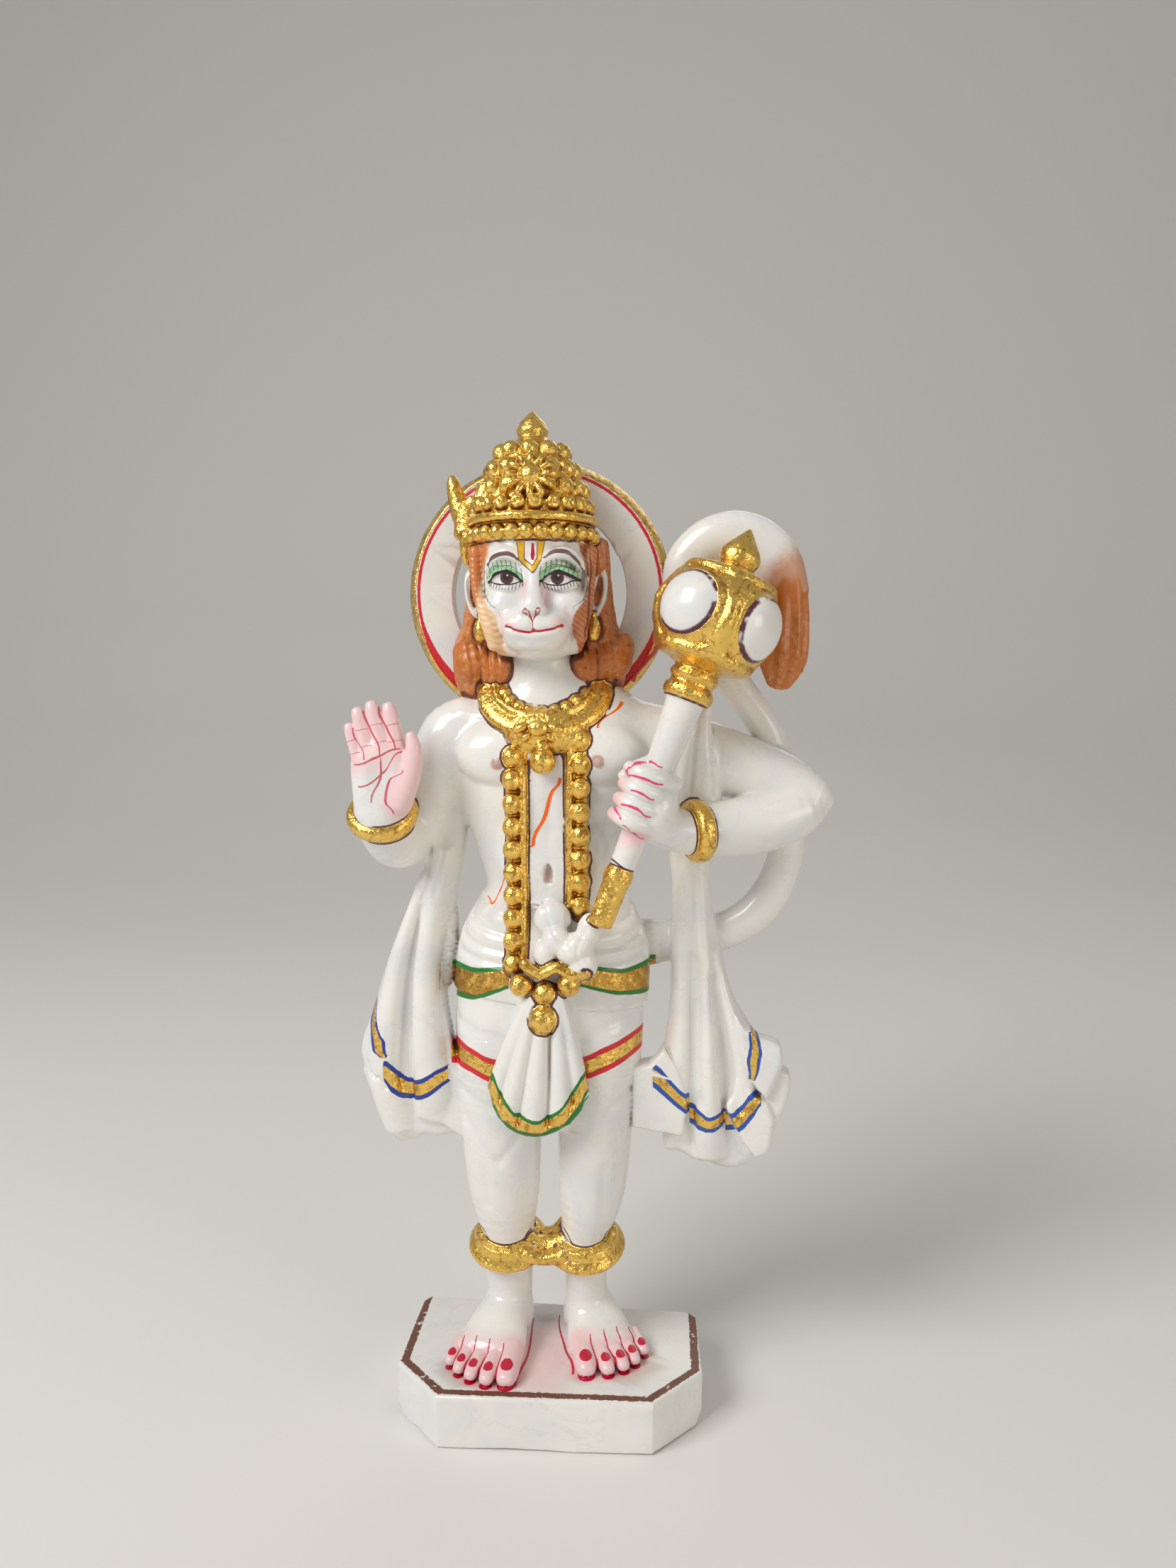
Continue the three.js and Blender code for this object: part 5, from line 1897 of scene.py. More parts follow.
        return [
            Canvas("right drape", (-63, -6, 60), (-26.4, 12, 116), deep),
            Canvas("left drape", (26, -6, 56), (80, 12, 110), light),
        ]


@dataclass(frozen=True)
class Tail(Portion):
    """The tail that curls up beside the figure and ends in an orange tuft over the halo."""

    bare: Rows = (
        (20, 13.6, 126.6, 7.6, 6),
        (44, 12.6, 129.6, 6.2, 5.2),
        (57, 12.4, 133.4, 5.9, 5),
        (67, 12, 143, 5.8, 5),
        (72.4, 12, 158, 5.3, 5),
        (71.6, 12, 176, 5.2, 5),
        (66, 12, 194, 5.1, 5),
        (56, 11.6, 208.6, 5, 5),
        (43, 11.2, 227, 6, 4.8),
        (40.2, 10.4, 242, 6.6, 4.8),
        (45, 9.6, 250, 6.8, 5),
        (53, 8.6, 253.6, 7, 5),
        (61.6, 8, 251.8, 7.2, 5),
        (68.2, 7.6, 245.4, 7, 5),
        (71, 7.4, 236, 6.6, 5),
    )
    tuft: Rows = (
        (70.2, 7.5, 243, 5, 4.2, 0.2),
        (70.6, 7.4, 236, 6.4, 5, 0.6),
        (70.6, 7.4, 226, 6.9, 5.2, 1),
        (70, 7.4, 216, 6.9, 4.8, 1),
        (69, 7.4, 209.6, 4, 3.2, 0.8),
    )

    def carved(self) -> list[Step]:
        """Carves the tail and its tuft."""
        tuft = Limb(self.tuft, flutes=9, fold=0.07)
        return [Carving(Limb(self.bare), 1.6), Carving(tuft, 0.6, Coat.HAIR)]

    def painted(self) -> list[Canvas]:
        """Paints the thin wash of orange where the tuft begins."""
        wash = band(((62, 240), (68, 246), (80, 252)), ((62, 228), (80, 232)))
        return [Canvas("tuft", (61, -2, 226), (82, 16, 256), (Layer(Pigment.FUR, (wash,), 5, 2.5, 0.75),))]


@dataclass(frozen=True)
class Halo(Portion):
    """The flat ring behind the head, bevelled round its gilded rim."""

    at: Triple = (-4.5, 16.4, 236.6)
    outside: float = 41.0
    inside: float = 27.0
    half: float = 3.3

    def carved(self) -> list[Step]:
        """Carves the ring and covers its rim with leaf."""
        inner, outer, half = self.inside, self.outside, self.half
        ring = [(inner, -half), (outer - 2, -half), (outer, 0), (outer - 2, half), (inner, half)]
        return [Carving(Turning(self.at, BACK, ring, 0), 1)]

    def painted(self) -> list[Canvas]:
        """Gilds the rim and paints the red line inside it."""
        x, y, z = self.at
        gold = Layer(Pigment.GOLD_LEAF, (Hoop(x, z, self.outside + 1, 3.5),), 0.12, 0.35)
        red = Layer(Pigment.RED, (Hoop(x, z, 37.6, 0.5, 0.9),), 0.15, 0.2, front=y - 0.5)
        thick = Layer(
            Pigment.RED, (line(((31.7, 220.5), (27.9, 215.3), (24.7, 209.5)), 1.2, True),), front=y - 0.5
        )
        return [Canvas("halo", (-47, 12.2, 194), (38, 21, 280), (gold, red, thick))]


@dataclass(frozen=True)
class Head(Portion):
    """The face with its muzzle, brows and eyes, the ears and the side whiskers."""

    x: float = -3.4
    z: float = 236.0
    middle: float = -3.2

    def carved(self) -> list[Step]:
        """Carves the skull and the face."""
        x, z, m = self.x, self.z, self.middle
        skull = Limb(
            (
                (m, 0.8, z - 16.8, 9.6, 8.6),
                (m, 0.2, z - 13.6, 12.8, 11.6),
                (x, 0.4, z - 8, 15, 15),
                (x - 0.8, 1.2, z, 16.6, 16),
                (x - 1.4, 1.4, z + 7, 17.2, 16.2),
                (x - 1.6, 1.6, z + 16, 17, 16.4),
            ),
            ends=0.35,
        )
        steps: list[Step] = [Carving(skull, 0.9)]
        for mid, rad in (((m, -11.8, 225.2), (10.8, 8.9, 6.9)), ((m, -13.4, 221.4), (7.8, 5.6, 3.9))):
            steps.append(Carving(Lump(mid, rad), 2.2))
        jaw = Limb(
            (
                (-13.4, -3.4, 222, 3.8, 4.8),
                (-8.6, -8.8, 221.2, 3.9, 4.6),
                (m, -10.6, 221, 3.8, 4.6),
                (2.4, -8.8, 221.4, 3.9, 4.6),
                (7.4, -3.4, 222.4, 3.8, 4.8),
            ),
            UP,
        )
        steps.append(Carving(jaw, 2))
        for side in (-1, 1):
            steps += [
                Carving(Lump((m + side * 7.9, -17.4, 239.4), (5.2, 1.7, 3.7)), 2, tool=Tool.CUT),
                Carving(Lump((m + side * 9.4, -9.6, 231), (5.6, 5.8, 5.8)), 3),
                Carving(Lump((m + side * 7.6, -11.4, 239), (5.2, 4.2, 3.1)), 0.6),
                Carving(Lump((m + side * 4.1, -17, 225.2), (4.8, 3.4, 3.6)), 1.6),
            ]
        lids = (
            (-16.4, -12, 238.3, 0.9, 0.9), (-14.4, -14.4, 240, 1, 1), (-11.2, -15.5, 241, 1.1, 1),
            (-8.4, -15.2, 240, 1, 1), (-6.4, -14.4, 238.2, 0.8, 0.8),
        )
        brows = (
            (-17, -10, 242.4, 1.6, 1.4), (-14.4, -12.8, 245.2, 1.8, 1.5), (-11.2, -14.4, 246, 1.8, 1.5),
            (-7, -15, 244.4, 1.4, 1.2),
        )
        under = ((-15.4, -12.6, 237, 0.7, 0.7), (-11.4, -14.6, 236.2, 0.8, 0.8), (-7.6, -14.4, 237, 0.7, 0.7))
        for rows, soft in ((brows, 1.6), (lids, 0.7), (under, 0.9)):
            steps += [Carving(Limb(rows), soft), Carving(Limb(mirrored(rows, m - 0.2)), soft)]
        nose = Limb(
            (
                (m, -13.6, 243, 2.6, 2),
                (m + 0.1, -16.2, 236, 2.5, 2.4),
                (m + 0.2, -19.2, 231.4, 3.2, 2.4),
                (m + 0.2, -19.8, 229.8, 2.7, 1.8),
            )
        )
        steps.append(Carving(nose, 1.8))
        for side in (-1, 1):
            steps.append(Carving(Lump((m + side * 2.2, -19.2, 229.6), (1.9, 1.8, 1.5)), 0.8))
            steps.append(Carving(Lump((m + side * 1.7, -20.9, 228.6), (0.7, 1.2, 0.5)), 0.5, tool=Tool.CUT))
        mouth = (
            (-10.5, 225), (-8.3, 224.2), (-5.8, 223.6), (-2.9, 223.7), (0.6, 224), (3, 224.5), (5, 225.2)
        )
        steps += [
            Groove(mouth, 0.6, 0.7, far=-12),
            Groove(((m, 228), (m, 224.4)), 0.7, 0.4, far=-14),
            Groove(((-13.4, 229.4), (-12.8, 226), (-12.6, 221)), 0.8, 0.5, far=-6),
            Groove(((6.4, 230), (7.6, 226), (7.2, 221.4)), 0.8, 0.5, far=-6),
            Groove(((-7.2, 221.2), (m, 220.4), (1, 221.2)), 0.9, 0.3, far=-12),
        ]
        for side, wide in ((-1, 19.6), (1, 17)):
            at = (x + 0.4 + side * wide, 1.8, z - 0.4)
            steps += [
                Carving(Lump(at, (2.8, 3.8, 8), lean=side * 11, turn=side * 24), 0.8),
                Carving(
                    Lump((at[0] + side * 0.6, -1, at[2] + 0.6), (1.5, 1.7, 5.6), lean=side * 11),
                    0.6,
                    tool=Tool.CUT,
                ),
            ]
        whiskers = (
            (
                (-21.4, -5.4, 247.6, 2, 2.2), (-21.2, -6.2, 239, 1.9, 2.4), (-19.4, -7, 231.6, 1.9, 2.8),
                (-16.6, -8.6, 225.6, 2.7, 3), (-15.2, -8.2, 220.4, 2.5, 2.6),
            ),
            (
                (12.4, -5.4, 247.6, 2, 2.2), (12.4, -6.6, 239, 1.5, 2.4), (11.6, -7.6, 231.6, 1.8, 2.8),
                (9.8, -8.8, 226, 2.3, 3), (9.6, -8.2, 222.2, 2.1, 2.6),
            ),
        )
        steps += [Carving(Limb(rows), 1) for rows in whiskers]
        for i in range(16):
            z_here = 246.0 - 1.7 * i
            x_here = float(np.interp(z_here, (220, 225.6, 231.6, 239), (-15.2, -16.6, -19.4, -21.2)))
            steps.append(
                Groove(
                    ((x_here - 2.6, z_here + 0.5), (x_here, z_here - 0.5), (x_here + 2.6, z_here + 0.4)),
                    0.36,
                    0.26,
                    far=-2,
                )
            )
        for side, at in ((-1, (-20.6, -2, 224.5)), (1, (13.2, -2, 225))):
            steps.append(Carving(Lump(at, (2.1, 2.2, 3.7)), 0.4, Coat.GOLD))
            steps.append(Carving(Lump((at[0] - side * 0.2, -2, at[2] + 4), (1.1, 1.2, 1.2)), 0.3, Coat.GOLD))
        return steps

    def painted(self) -> list[Canvas]:
        """Paints the eyes, brows, mouth, forehead mark and whiskers."""
        lash_left = (
            (-16.7, 238), (-14.9, 239.6), (-13.1, 240.5), (-11.4, 240.8), (-9.4, 240.2), (-7.7, 239.2),
            (-6.2, 238),
        )
        low_left = ((-16.7, 238), (-13.9, 237.4), (-11.4, 237.1), (-8.9, 237.4), (-6.2, 238))
        lash_right = (
            (-1.4, 237.9), (0.1, 239.3), (1.8, 240.3), (3.6, 240.7), (5.5, 240.2), (8, 239.2), (10.5, 238.4)
        )
        low_right = ((-1.4, 237.9), (1.1, 237.1), (3.5, 236.9), (6, 237.3), (8, 238.2), (10.5, 238.4))
        arc_left = (
            (-17.5, 239.5), (-16.4, 241.8), (-13.9, 242.7), (-10.9, 242.7), (-8.9, 242), (-6.4, 239.9)
        )
        arc_right = ((-0.9, 240.9), (0.6, 242.1), (3.1, 243), (6, 242.5), (8.5, 241.3), (10.8, 239.4))
        lids = (
            band(arc_left, ((-17.5, 238.6), *lash_left[1:])),
            band(arc_right, (*lash_right[:-1], (10.8, 238.6))),
        )
        upper = tuple(
            Comb(band([(x, z + 1.4) for x, z in arc], lash), 1.35, 0.15, slant)
            for arc, lash, slant in ((arc_left, lash_left, 0.16), (arc_right, lash_right, -0.16))
        )
        lower = tuple(
            Comb(band(low, [(x, z - 1.5) for x, z in low]), 0.95, 0.1, slant)
            for low, slant in ((low_left, -0.3), (low_right, 0.3))
        )
        lashes = (
            line(lash_left, 0.55, ends=0.7),
            line(lash_right, 0.55, ends=0.7),
            line(low_left, 0.22),
            line(low_right, 0.22),
        )
        # Painted shadow under each upper lash line.
        lash_shadows = tuple(line([(x, z - 0.75) for x, z in arc], 0.35) for arc in (lash_left, lash_right))
        brows = (
            line(
                ((-17.1, 243), (-15.9, 244.4), (-14.4, 245.3), (-11.4, 245.9), (-8.9, 245.2), (-7.1, 244.1)),
                0.64,
            ),
            line(
                (
                    (-0.4, 244.7), (1.6, 245.9), (3.6, 246.5), (6, 246.3), (8, 245), (9.8, 243.1),
                    (10.7, 241.6),
                ),
                0.64,
            ),
        )
        irises = (Spot(-10.9, 239, 1.9, 1.8), Spot(3.6, 238.9, 1.9, 1.8))
        pupils = (Spot(-11, 239.2, 1.05, 1.05), Spot(3.5, 239.1, 1.05, 1.05))
        glints = (Spot(-10.7, 239.7, 0.25, 0.25), Spot(3.9, 239.6, 0.25, 0.25))
        rim = Stroke(((-3.4, 240.2, 0.4), (-4.15, 243.8, 3.2), (-4.15, 249.4, 4.15)), True)
        outer = Stroke(((-3.4, 240.8, 0.3), (-4.15, 244, 2.95), (-4.15, 249.4, 3.9)), True)
        inner_rim = Stroke(((-3.6, 242.4, 0.2), (-4.1, 244.3, 1.9), (-4.05, 249.4, 1.95)), True)
        inner = Stroke(((-3.6, 242.7, 0.15), (-4.1, 244.5, 1.65), (-4.05, 249.4, 1.75)), True)
        drop = Stroke(((-3.5, 244, 0.3), (-3.5, 245.4, 0.62), (-3.5, 248.8, 0.3)), True)
        mouth = (
            line(
                (
                    (-10.5, 225), (-8.3, 224.2), (-5.8, 223.6), (-3.8, 223.4), (-2.8, 223.9), (-1.9, 223.7),
                    (0.6, 224), (3, 224.5), (5, 225.2),
                ),
                0.34,
                ends=0.9,
            ),
            Spot(-10.6, 225.1, 0.55, 0.5),
            Spot(5.1, 225.3, 0.55, 0.5),
            Spot(-2.8, 223.9, 0.6, 0.6),
            line(((-3, 226.2), (-2.9, 224.2)), 0.25, True),
        )
        nostrils = (
            line(((-6, 229.2), (-5, 229.9), (-4.1, 229.3)), 0.3),
            line(((-5.8, 228.8), (-4.6, 228.3), (-3.8, 227.8)), 0.26),
            line(((-4, 229.4), (-3.6, 227.6), (-3, 225.9)), 0.34, True),
            line(((-2.3, 229.2), (-1.5, 230.1), (-0.6, 230)), 0.3),
            line(((-2.4, 227.9), (-1.3, 228.9), (-0.6, 229.5)), 0.26),
            line(((-2, 229.4), (-2.5, 227.6), (-3, 225.9)), 0.34, True),
        )
        cheeks = (
            line(((-17.7, 244.1), (-18.5, 239.9), (-18.3, 234.9), (-16.8, 232.4)), 0.14, True, ends=1),
            line(((-16.8, 232.4), (-15.4, 231.2), (-14, 230.6)), 0.14),
            line(((10.5, 242.2), (11.7, 238.3), (11.1, 233.8), (10, 232.1), (8.2, 230.1)), 0.14, True),
        )
        pinks = (
            line(((-13.2, 229.4), (-12.2, 226.8), (-11.8, 222.4)), 0.4, True),
            line(((5.6, 230.4), (7.9, 226.8), (7.6, 222.4)), 0.4, True),
            Spot(-5.8, 235.8, 0.9, 2.2),
            Spot(0.2, 234.6, 0.9, 3),
            Spot(-9.6, 226, 1.4, 0.9),
            Spot(4.2, 226.4, 1.4, 0.9),
        )
        left_in = (
            (-17, 246.1), (-19, 242.1), (-19.1, 237.6), (-18.3, 233.6), (-16.6, 230.5), (-13.8, 228),
            (-13.5, 225), (-13, 222), (-11.8, 217.6),
        )
        right_in = (
            (9.9, 246.9), (11.4, 241.9), (11.9, 237.4), (11.1, 232.9), (9.9, 231), (8.1, 228), (7.6, 225.5),
            (7.6, 223.4), (8.8, 220.6),
        )
        fur_left = band(((-16.4, 249.6), *left_in), ((-26, 249.6), (-26, 217)), True)
        fur_top = band(
            ((-26, 249.6), (-26, 228)),
            ((-16.9, 249.6), (-18.2, 243.6), (-19.6, 238), (-20.6, 232), (-20.4, 228)),
            True,
        )
        scallops = Comb(fur_left, 5.2, 0.62, 3)
        fur_right = band(((18, 249.6), (18, 217)), ((9.2, 249.6), *right_in), True)
        crease = (
            line(((12.4, 246), (12.9, 242), (12.5, 237.6), (12.3, 232.6), (12, 227), (11, 222)), 0.3, True),
        )
        ears = (
            line(((-20.6, 228.5), (-22.1, 234.1), (-23.1, 240.8), (-24.4, 243.4)), 0.25, True),
            line(
                ((12.2, 229.4), (13.7, 229.9), (15.5, 234.5), (15.8, 238.1), (14.7, 241.1), (12.6, 242.4)),
                0.25,
                True,
            ),
        )
        hatch = Comb(fur_right, 2.1, 0.4, 1.3)
        layers = (
            Layer(Pigment.BLUSH, pinks, 1.3, 0.3, 0.55, front=-6),
            Layer(Pigment.FUR_PALE, (fur_left,), 0.4, 0.5, 0.9, front=1),
            Layer(Pigment.FUR, (fur_top,), 0.7, 0.5, 0.88, front=1),
            Layer(Pigment.ORANGE, (scallops,), 0.4, 0.5, 0.3, front=1),
            Layer(Pigment.FUR, (fur_right,), 0.3, 0.5, 0.92, front=1),
            Layer(Pigment.FUR_DARK, (hatch,), 0.3, 0.5, 0.4, front=1),
            Layer(Pigment.WHITE, (band(lash_left, low_left), band(lash_right, low_right)), front=-8),
            Layer(Pigment.IRIS, irises, 0.1, 0, front=-8),
            Layer(Pigment.LASH, pupils, 0.1, 0, front=-8),
            Layer(Pigment.BROW, lash_shadows, 0.5, 0, 0.5, front=-8),
            Layer(Pigment.LID_GREEN, lids, 0.15, 0.2, 0.8, front=-8),
            Layer(
                Pigment.LID_DARK,
                (line(arc_left, 0.13), line(arc_right, 0.13), *upper),
                0.1,
                0.05,
                0.75,
                front=-8,
            ),
            Layer(Pigment.LASH, (*lashes, *lower), 0.1, 0.06, front=-8),
            Layer(Pigment.WHITE, glints, 0.05, 0, front=-8),
            Layer(
                Pigment.BROW, (*brows, rim, *cheeks, Spot(-3.8, 240.6, 0.2, 0.55)), 0.1, 0.1, 0.92, front=-6
            ),
            Layer(Pigment.YELLOW, (outer,), 0.1, 0.04, front=-9),
            Layer(Pigment.BROW, (inner_rim,), 0.1, 0.04, front=-9),
            Layer(Pigment.WHITE, (inner,), 0.1, 0.04, front=-9),
            Layer(Pigment.CRIMSON, (drop, *mouth), 0.1, 0.06, front=-9),
            Layer(Pigment.NOSTRIL, nostrils, 0.12, 0.06, front=-15),
            Layer(Pigment.FUR_DARK, (*crease, *ears), 0.14, 0.15, 0.9, front=2),
        )
        return [Canvas("face", (-28, -30, 214), (20, -2.5, 250.5), layers)]


@dataclass(frozen=True)
class Hair(Portion):
    """Long hair that frames the face, curls on the shoulders and falls behind."""

    lock: Rows = (
        (17, 8, 250, 4, 8.4),
        (17.6, 8.4, 238, 4.2, 8.6),
        (18, 8.4, 226, 5.6, 8.6),
        (19.2, 8.4, 218.6, 7.2, 8),
        (18.2, 8.4, 210, 7.4, 7),
        (16, 9, 204.6, 5.6, 5.6),
    )
    behind: Rows = (
        (-4, 10, 256, 12, 8),
        (-4, 12, 244, 18, 10),
        (-4, 12.4, 230, 18.4, 10),
        (-3.6, 13.4, 216, 18, 9),
        (-3, 14, 202, 16, 7),
        (-3, 13, 196, 10, 4),
    )
    curls: tuple[tuple[Triple, Triple], ...] = (
        ((-23, 3.6, 215), (6.6, 5.6, 6.4)),
        ((-16.2, 3.2, 213), (5.6, 5.2, 6.6)),
        ((-26.6, 6, 218), (3.8, 4.6, 4.6)),
        ((18, 3.8, 216), (6.6, 5.6, 6.4)),
        ((11.2, 3.2, 213.6), (5.6, 5.2, 6)),
        ((21.4, 6, 219.4), (3.8, 4.6, 5)),
    )

    def strands(self, points: Array) -> Array:
        """Gives the depth of the fine strands cut into the hair."""
        wave = points[:, 0] + 1.6 * np.sin(points[:, 2] / 7) + 0.8 * points[:, 1]
        back = np.clip((points[:, 1] - 3) / 3, 0, 1)
        low = np.clip((points[:, 1] - 12) / 2, 0, 1)
        aside = np.abs(points[:, 0] + 3.9)
        return 0.28 * np.sin(wave * 2.6) * np.maximum(back * (aside > 13.5), low) * (aside < 23.5)

    def carved(self) -> list[Step]:
        """Carves the locks, the fall behind and the curls on the shoulders."""
        steps: list[Step] = []
        for side, middle in ((-1, -3.8), (1, -4)):
            rows = tuple((middle + side * row[0], *row[1:]) for row in self.lock)
            steps.append(Carving(Limb(rows, flutes=6, fold=0.06), 0.8, Coat.HAIR))
        steps.append(Carving(Limb(self.behind, flutes=10, fold=0.04), 0.8, Coat.HAIR))
        steps += [Carving(Lump(at, radii), 0.9, Coat.HAIR) for at, radii in self.curls]
        for middle, side in ((-19.6, -1), (14.6, 1)):
            for i in range(4):
                x = middle + side * (i * 2.6 - 3.4)
                steps.append(
                    Groove(((x - 0.8, 221), (x + 0.9, 214), (x - 0.4, 207.6)), 0.55, 0.5, near=-4, far=9)
                )
        steps.append(Dressing((-34, 2, 196), (27, 26, 252), self.strands))
        return steps


@dataclass(frozen=True)
class Crown(Portion):
    """The tall gilded cap: beads under a ridge, a row of florets, scalloped tiers and a flower in front."""

    x: float = -5.2
    y: float = 2.0
    brim: float = 251.0
    profile: Rows = (
        (17, -0.6), (17.3, 5), (16.6, 9), (15.4, 13), (13.8, 17), (12.2, 20.5), (10.8, 24), (8.6, 27),
        (5.6, 29), (4.2, 30.4), (4.9, 32.4), (3.6, 35), (0.6, 38), (0, 38.2),
    )

    def carved(self) -> list[Step]:
        """Carves the cap and everything that stands on it."""
        x, y, z = self.x, self.y, self.brim
        gold = Coat.GOLD
        cap = Turning((x, y, z), UP, ((0, -0.6), *self.profile))
        steps: list[Step] = [
            Carving(cap, 0.6, gold), Carving(Ring((x, y, z + 5.6), 18.4, 18.4, 1.3, 1.4), 0.5, gold)
        ]
        for at in Ring((x, y, z + 1.3), 18, 18, 1, 1).spots(4.4):
            steps.append(Carving(Lump(at, (2.25, 2.25, 2.3)), 0.35, gold))
        for at in Ring((x, y, z + 9.6), 16.4, 16.4, 1, 1).spots(5):
            out = unit((at[0] - x, at[1] - y, 0))
            steps.append(Carving(Lump(at, (2.5, 2.5, 2.6)), 0.4, gold))
            steps.append(
                Carving(Lump(tuple(np.asarray(at) + out * 2.7), (0.85, 0.85, 0.85)), 0.2, tool=Tool.CUT)
            )
        for height, radius, size, pitch in ((14.6, 14.6, 2.7, 5.6), (20.2, 12, 3, 6.4), (25.4, 9.2, 2.9, 6)):
            for at in Ring((x, y, z + height), radius, radius, 1, 1).spots(pitch):
                steps.append(Carving(Lump(at, (size, size, size * 1.05)), 0.35, gold))
        steps += self.flower() + self.sides()
        return steps

    def flower(self) -> list[Step]:
        """Carves the big flower on the front of the cap."""
        x, y, z = self.x + 0.9, self.y - 15, self.brim + 17.2
        tilt = 24.0
        axes = turned_axes(tip=-tilt)
        steps: list[Step] = [Carving(Lump((x, y + 3, z), (7.6, 3.4, 7.6), tip=-tilt), 0.4, Coat.GOLD)]
        for i in range(12):
            angle = 2 * math.pi * i / 12
            way = axes @ np.array([math.sin(angle), 0, math.cos(angle)])
            at = np.array([x, y, z]) + way * 5.3
            frame_axes = np.column_stack([np.cross(axes[:, 1], way), axes[:, 1], way])
            steps.append(Carving(Lump(tuple(at), (1.25, 1.9, 2.6), axes=frame_axes), 0.12, Coat.GOLD))
        boss = Lump((x, y - 0.6, z), (3.3, 3, 3.3), tip=-tilt)
        return [*steps, Carving(boss, 0.25, Coat.GOLD)]

    def sides(self) -> list[Step]:
        """Carves the horns and leaves that stand beside the cap."""
        x, y, z = self.x, self.y, self.brim
        horn = Limb(
            (
                (x - 18.4, y + 1, z + 2, 3.6, 3),
                (x - 21.8, y + 1, z + 9, 3.1, 2.4),
                (x - 23.8, y + 1, z + 16.6, 2.3, 1.9),
                (x - 24.4, y + 1, z + 19, 1.3, 1.2),
            )
        )
        leaf = Limb(
            (
                (x - 16.2, y - 5, z + 7, 3, 2.2),
                (x - 14, y - 6.4, z + 12, 2.9, 2.4),
                (x - 11.6, y - 6.4, z + 16.4, 1.6, 1.6),
            )
        )
        fringe = Limb(((-24.8, 0.4, 253, 2.2, 2.6), (-25.2, 0.6, 249, 1.9, 2.4), (-25, 0.8, 245, 1.1, 1.6)))
        web = Limb(
            (
                (x - 19.4, y - 0.4, z + 2, 4.4, 2.6),
                (x - 19, y - 0.6, z + 8, 4, 2.2),
                (x - 17.2, y - 1.6, z + 12, 2.4, 1.8),
            )
        )
        return [Carving(form, 0.5, Coat.GOLD) for form in (horn, leaf, fringe, web)]


@dataclass(frozen=True)
class Mace(Portion):
    """The mace that leans on the shoulder.

    It has a white staff, gilded collars and a ribbed head with four white eggs.
    """

    foot: Triple = (15.5, -17.5, 138.4)
    tip: Triple = (58.8, -8, 253.4)
    profile: Rows = (
        (0, 0), (3.6, 1), (3.9, 14), (4.3, 15), (4.3, 17.4), (3.7, 18.4), (4.2, 48), (5.6, 69.6), (7.3, 71),
        (7.6, 72.6), (7.3, 74), (6.4, 75), (6.4, 76), (7.2, 76.8), (7.4, 77.8), (6.9, 78.8), (6.4, 79.6),
        (9, 80.8), (13.4, 82), (14.9, 83.2), (14.9, 84.6), (14, 85.8), (16.2, 89), (17.5, 93), (17.8, 96),
        (17.2, 100), (15.6, 104.4), (13.4, 106.4), (14, 107.2), (13.6, 108.6), (10, 109.6), (5, 111.2),
        (6, 113), (6.1, 115), (5, 117), (0.3, 123), (0, 123.1),
    )
    egg: Triple = (8, 10.4, 10.6)
    turns: tuple[float, ...] = (-36, 50, 144, 234)

    def carved(self) -> list[Step]:
        """Turns the staff and its head and carves the eggs and ribs."""
        foot, axis = np.asarray(self.foot), np.asarray(self.tip) - self.foot
        along = unit(axis)
        across = unit(np.cross(along, FRONT))
        out = np.cross(across, along)

        def turning(rows: Rows) -> Turning:
            """Gives a form turned on the staff's line."""
            return Turning(self.foot, tuple(axis), rows)

        ferrule = turning([(0, -0.4), *((r + 0.3, h) for r, h in self.profile if 0 < h < 18.7), (0, 18.6)])
        head = turning([(0, 70.6), *((r + 0.3, h) for r, h in self.profile if h >= 71), (0, 124)])
        steps: list[Step] = [Carving(turning(self.profile), 0.6)]
        steps += [Carving(form, coat=Coat.GOLD, tool=Tool.NONE) for form in (ferrule, head)]
        for i in range(4):
            turn = math.radians(90 * i + 9)
            way = across * math.sin(turn) + out * math.cos(turn)
            low, high = foot + along * 85.0 + way * 14, foot + along * 106.4 + way * 13.2
            rib = Limb(
                ((*low, 3.6, 1.2), (*((low + high) / 2 + way * 4.2), 1.8, 1.4), (*high, 3.6, 1.2)), tuple(way)
            )
            steps.append(Carving(rib, 1.2, Coat.GOLD))
        for degrees in self.turns:
            turn = math.radians(degrees)
            way = across * math.sin(turn) + out * math.cos(turn)
            axes = np.column_stack([way, np.cross(along, way), along])
            at = tuple(foot + along * 95.4 + way * 12.3)
            rim = Lump(at, (self.egg[0] - 2.4, self.egg[1] + 0.9, self.egg[2] + 0.9), axes=axes)
            steps.append(Carving(rim, 0.5, Coat.GOLD))
            steps.append(Carving(Lump(at, self.egg, axes=axes), 0.2))
        return steps


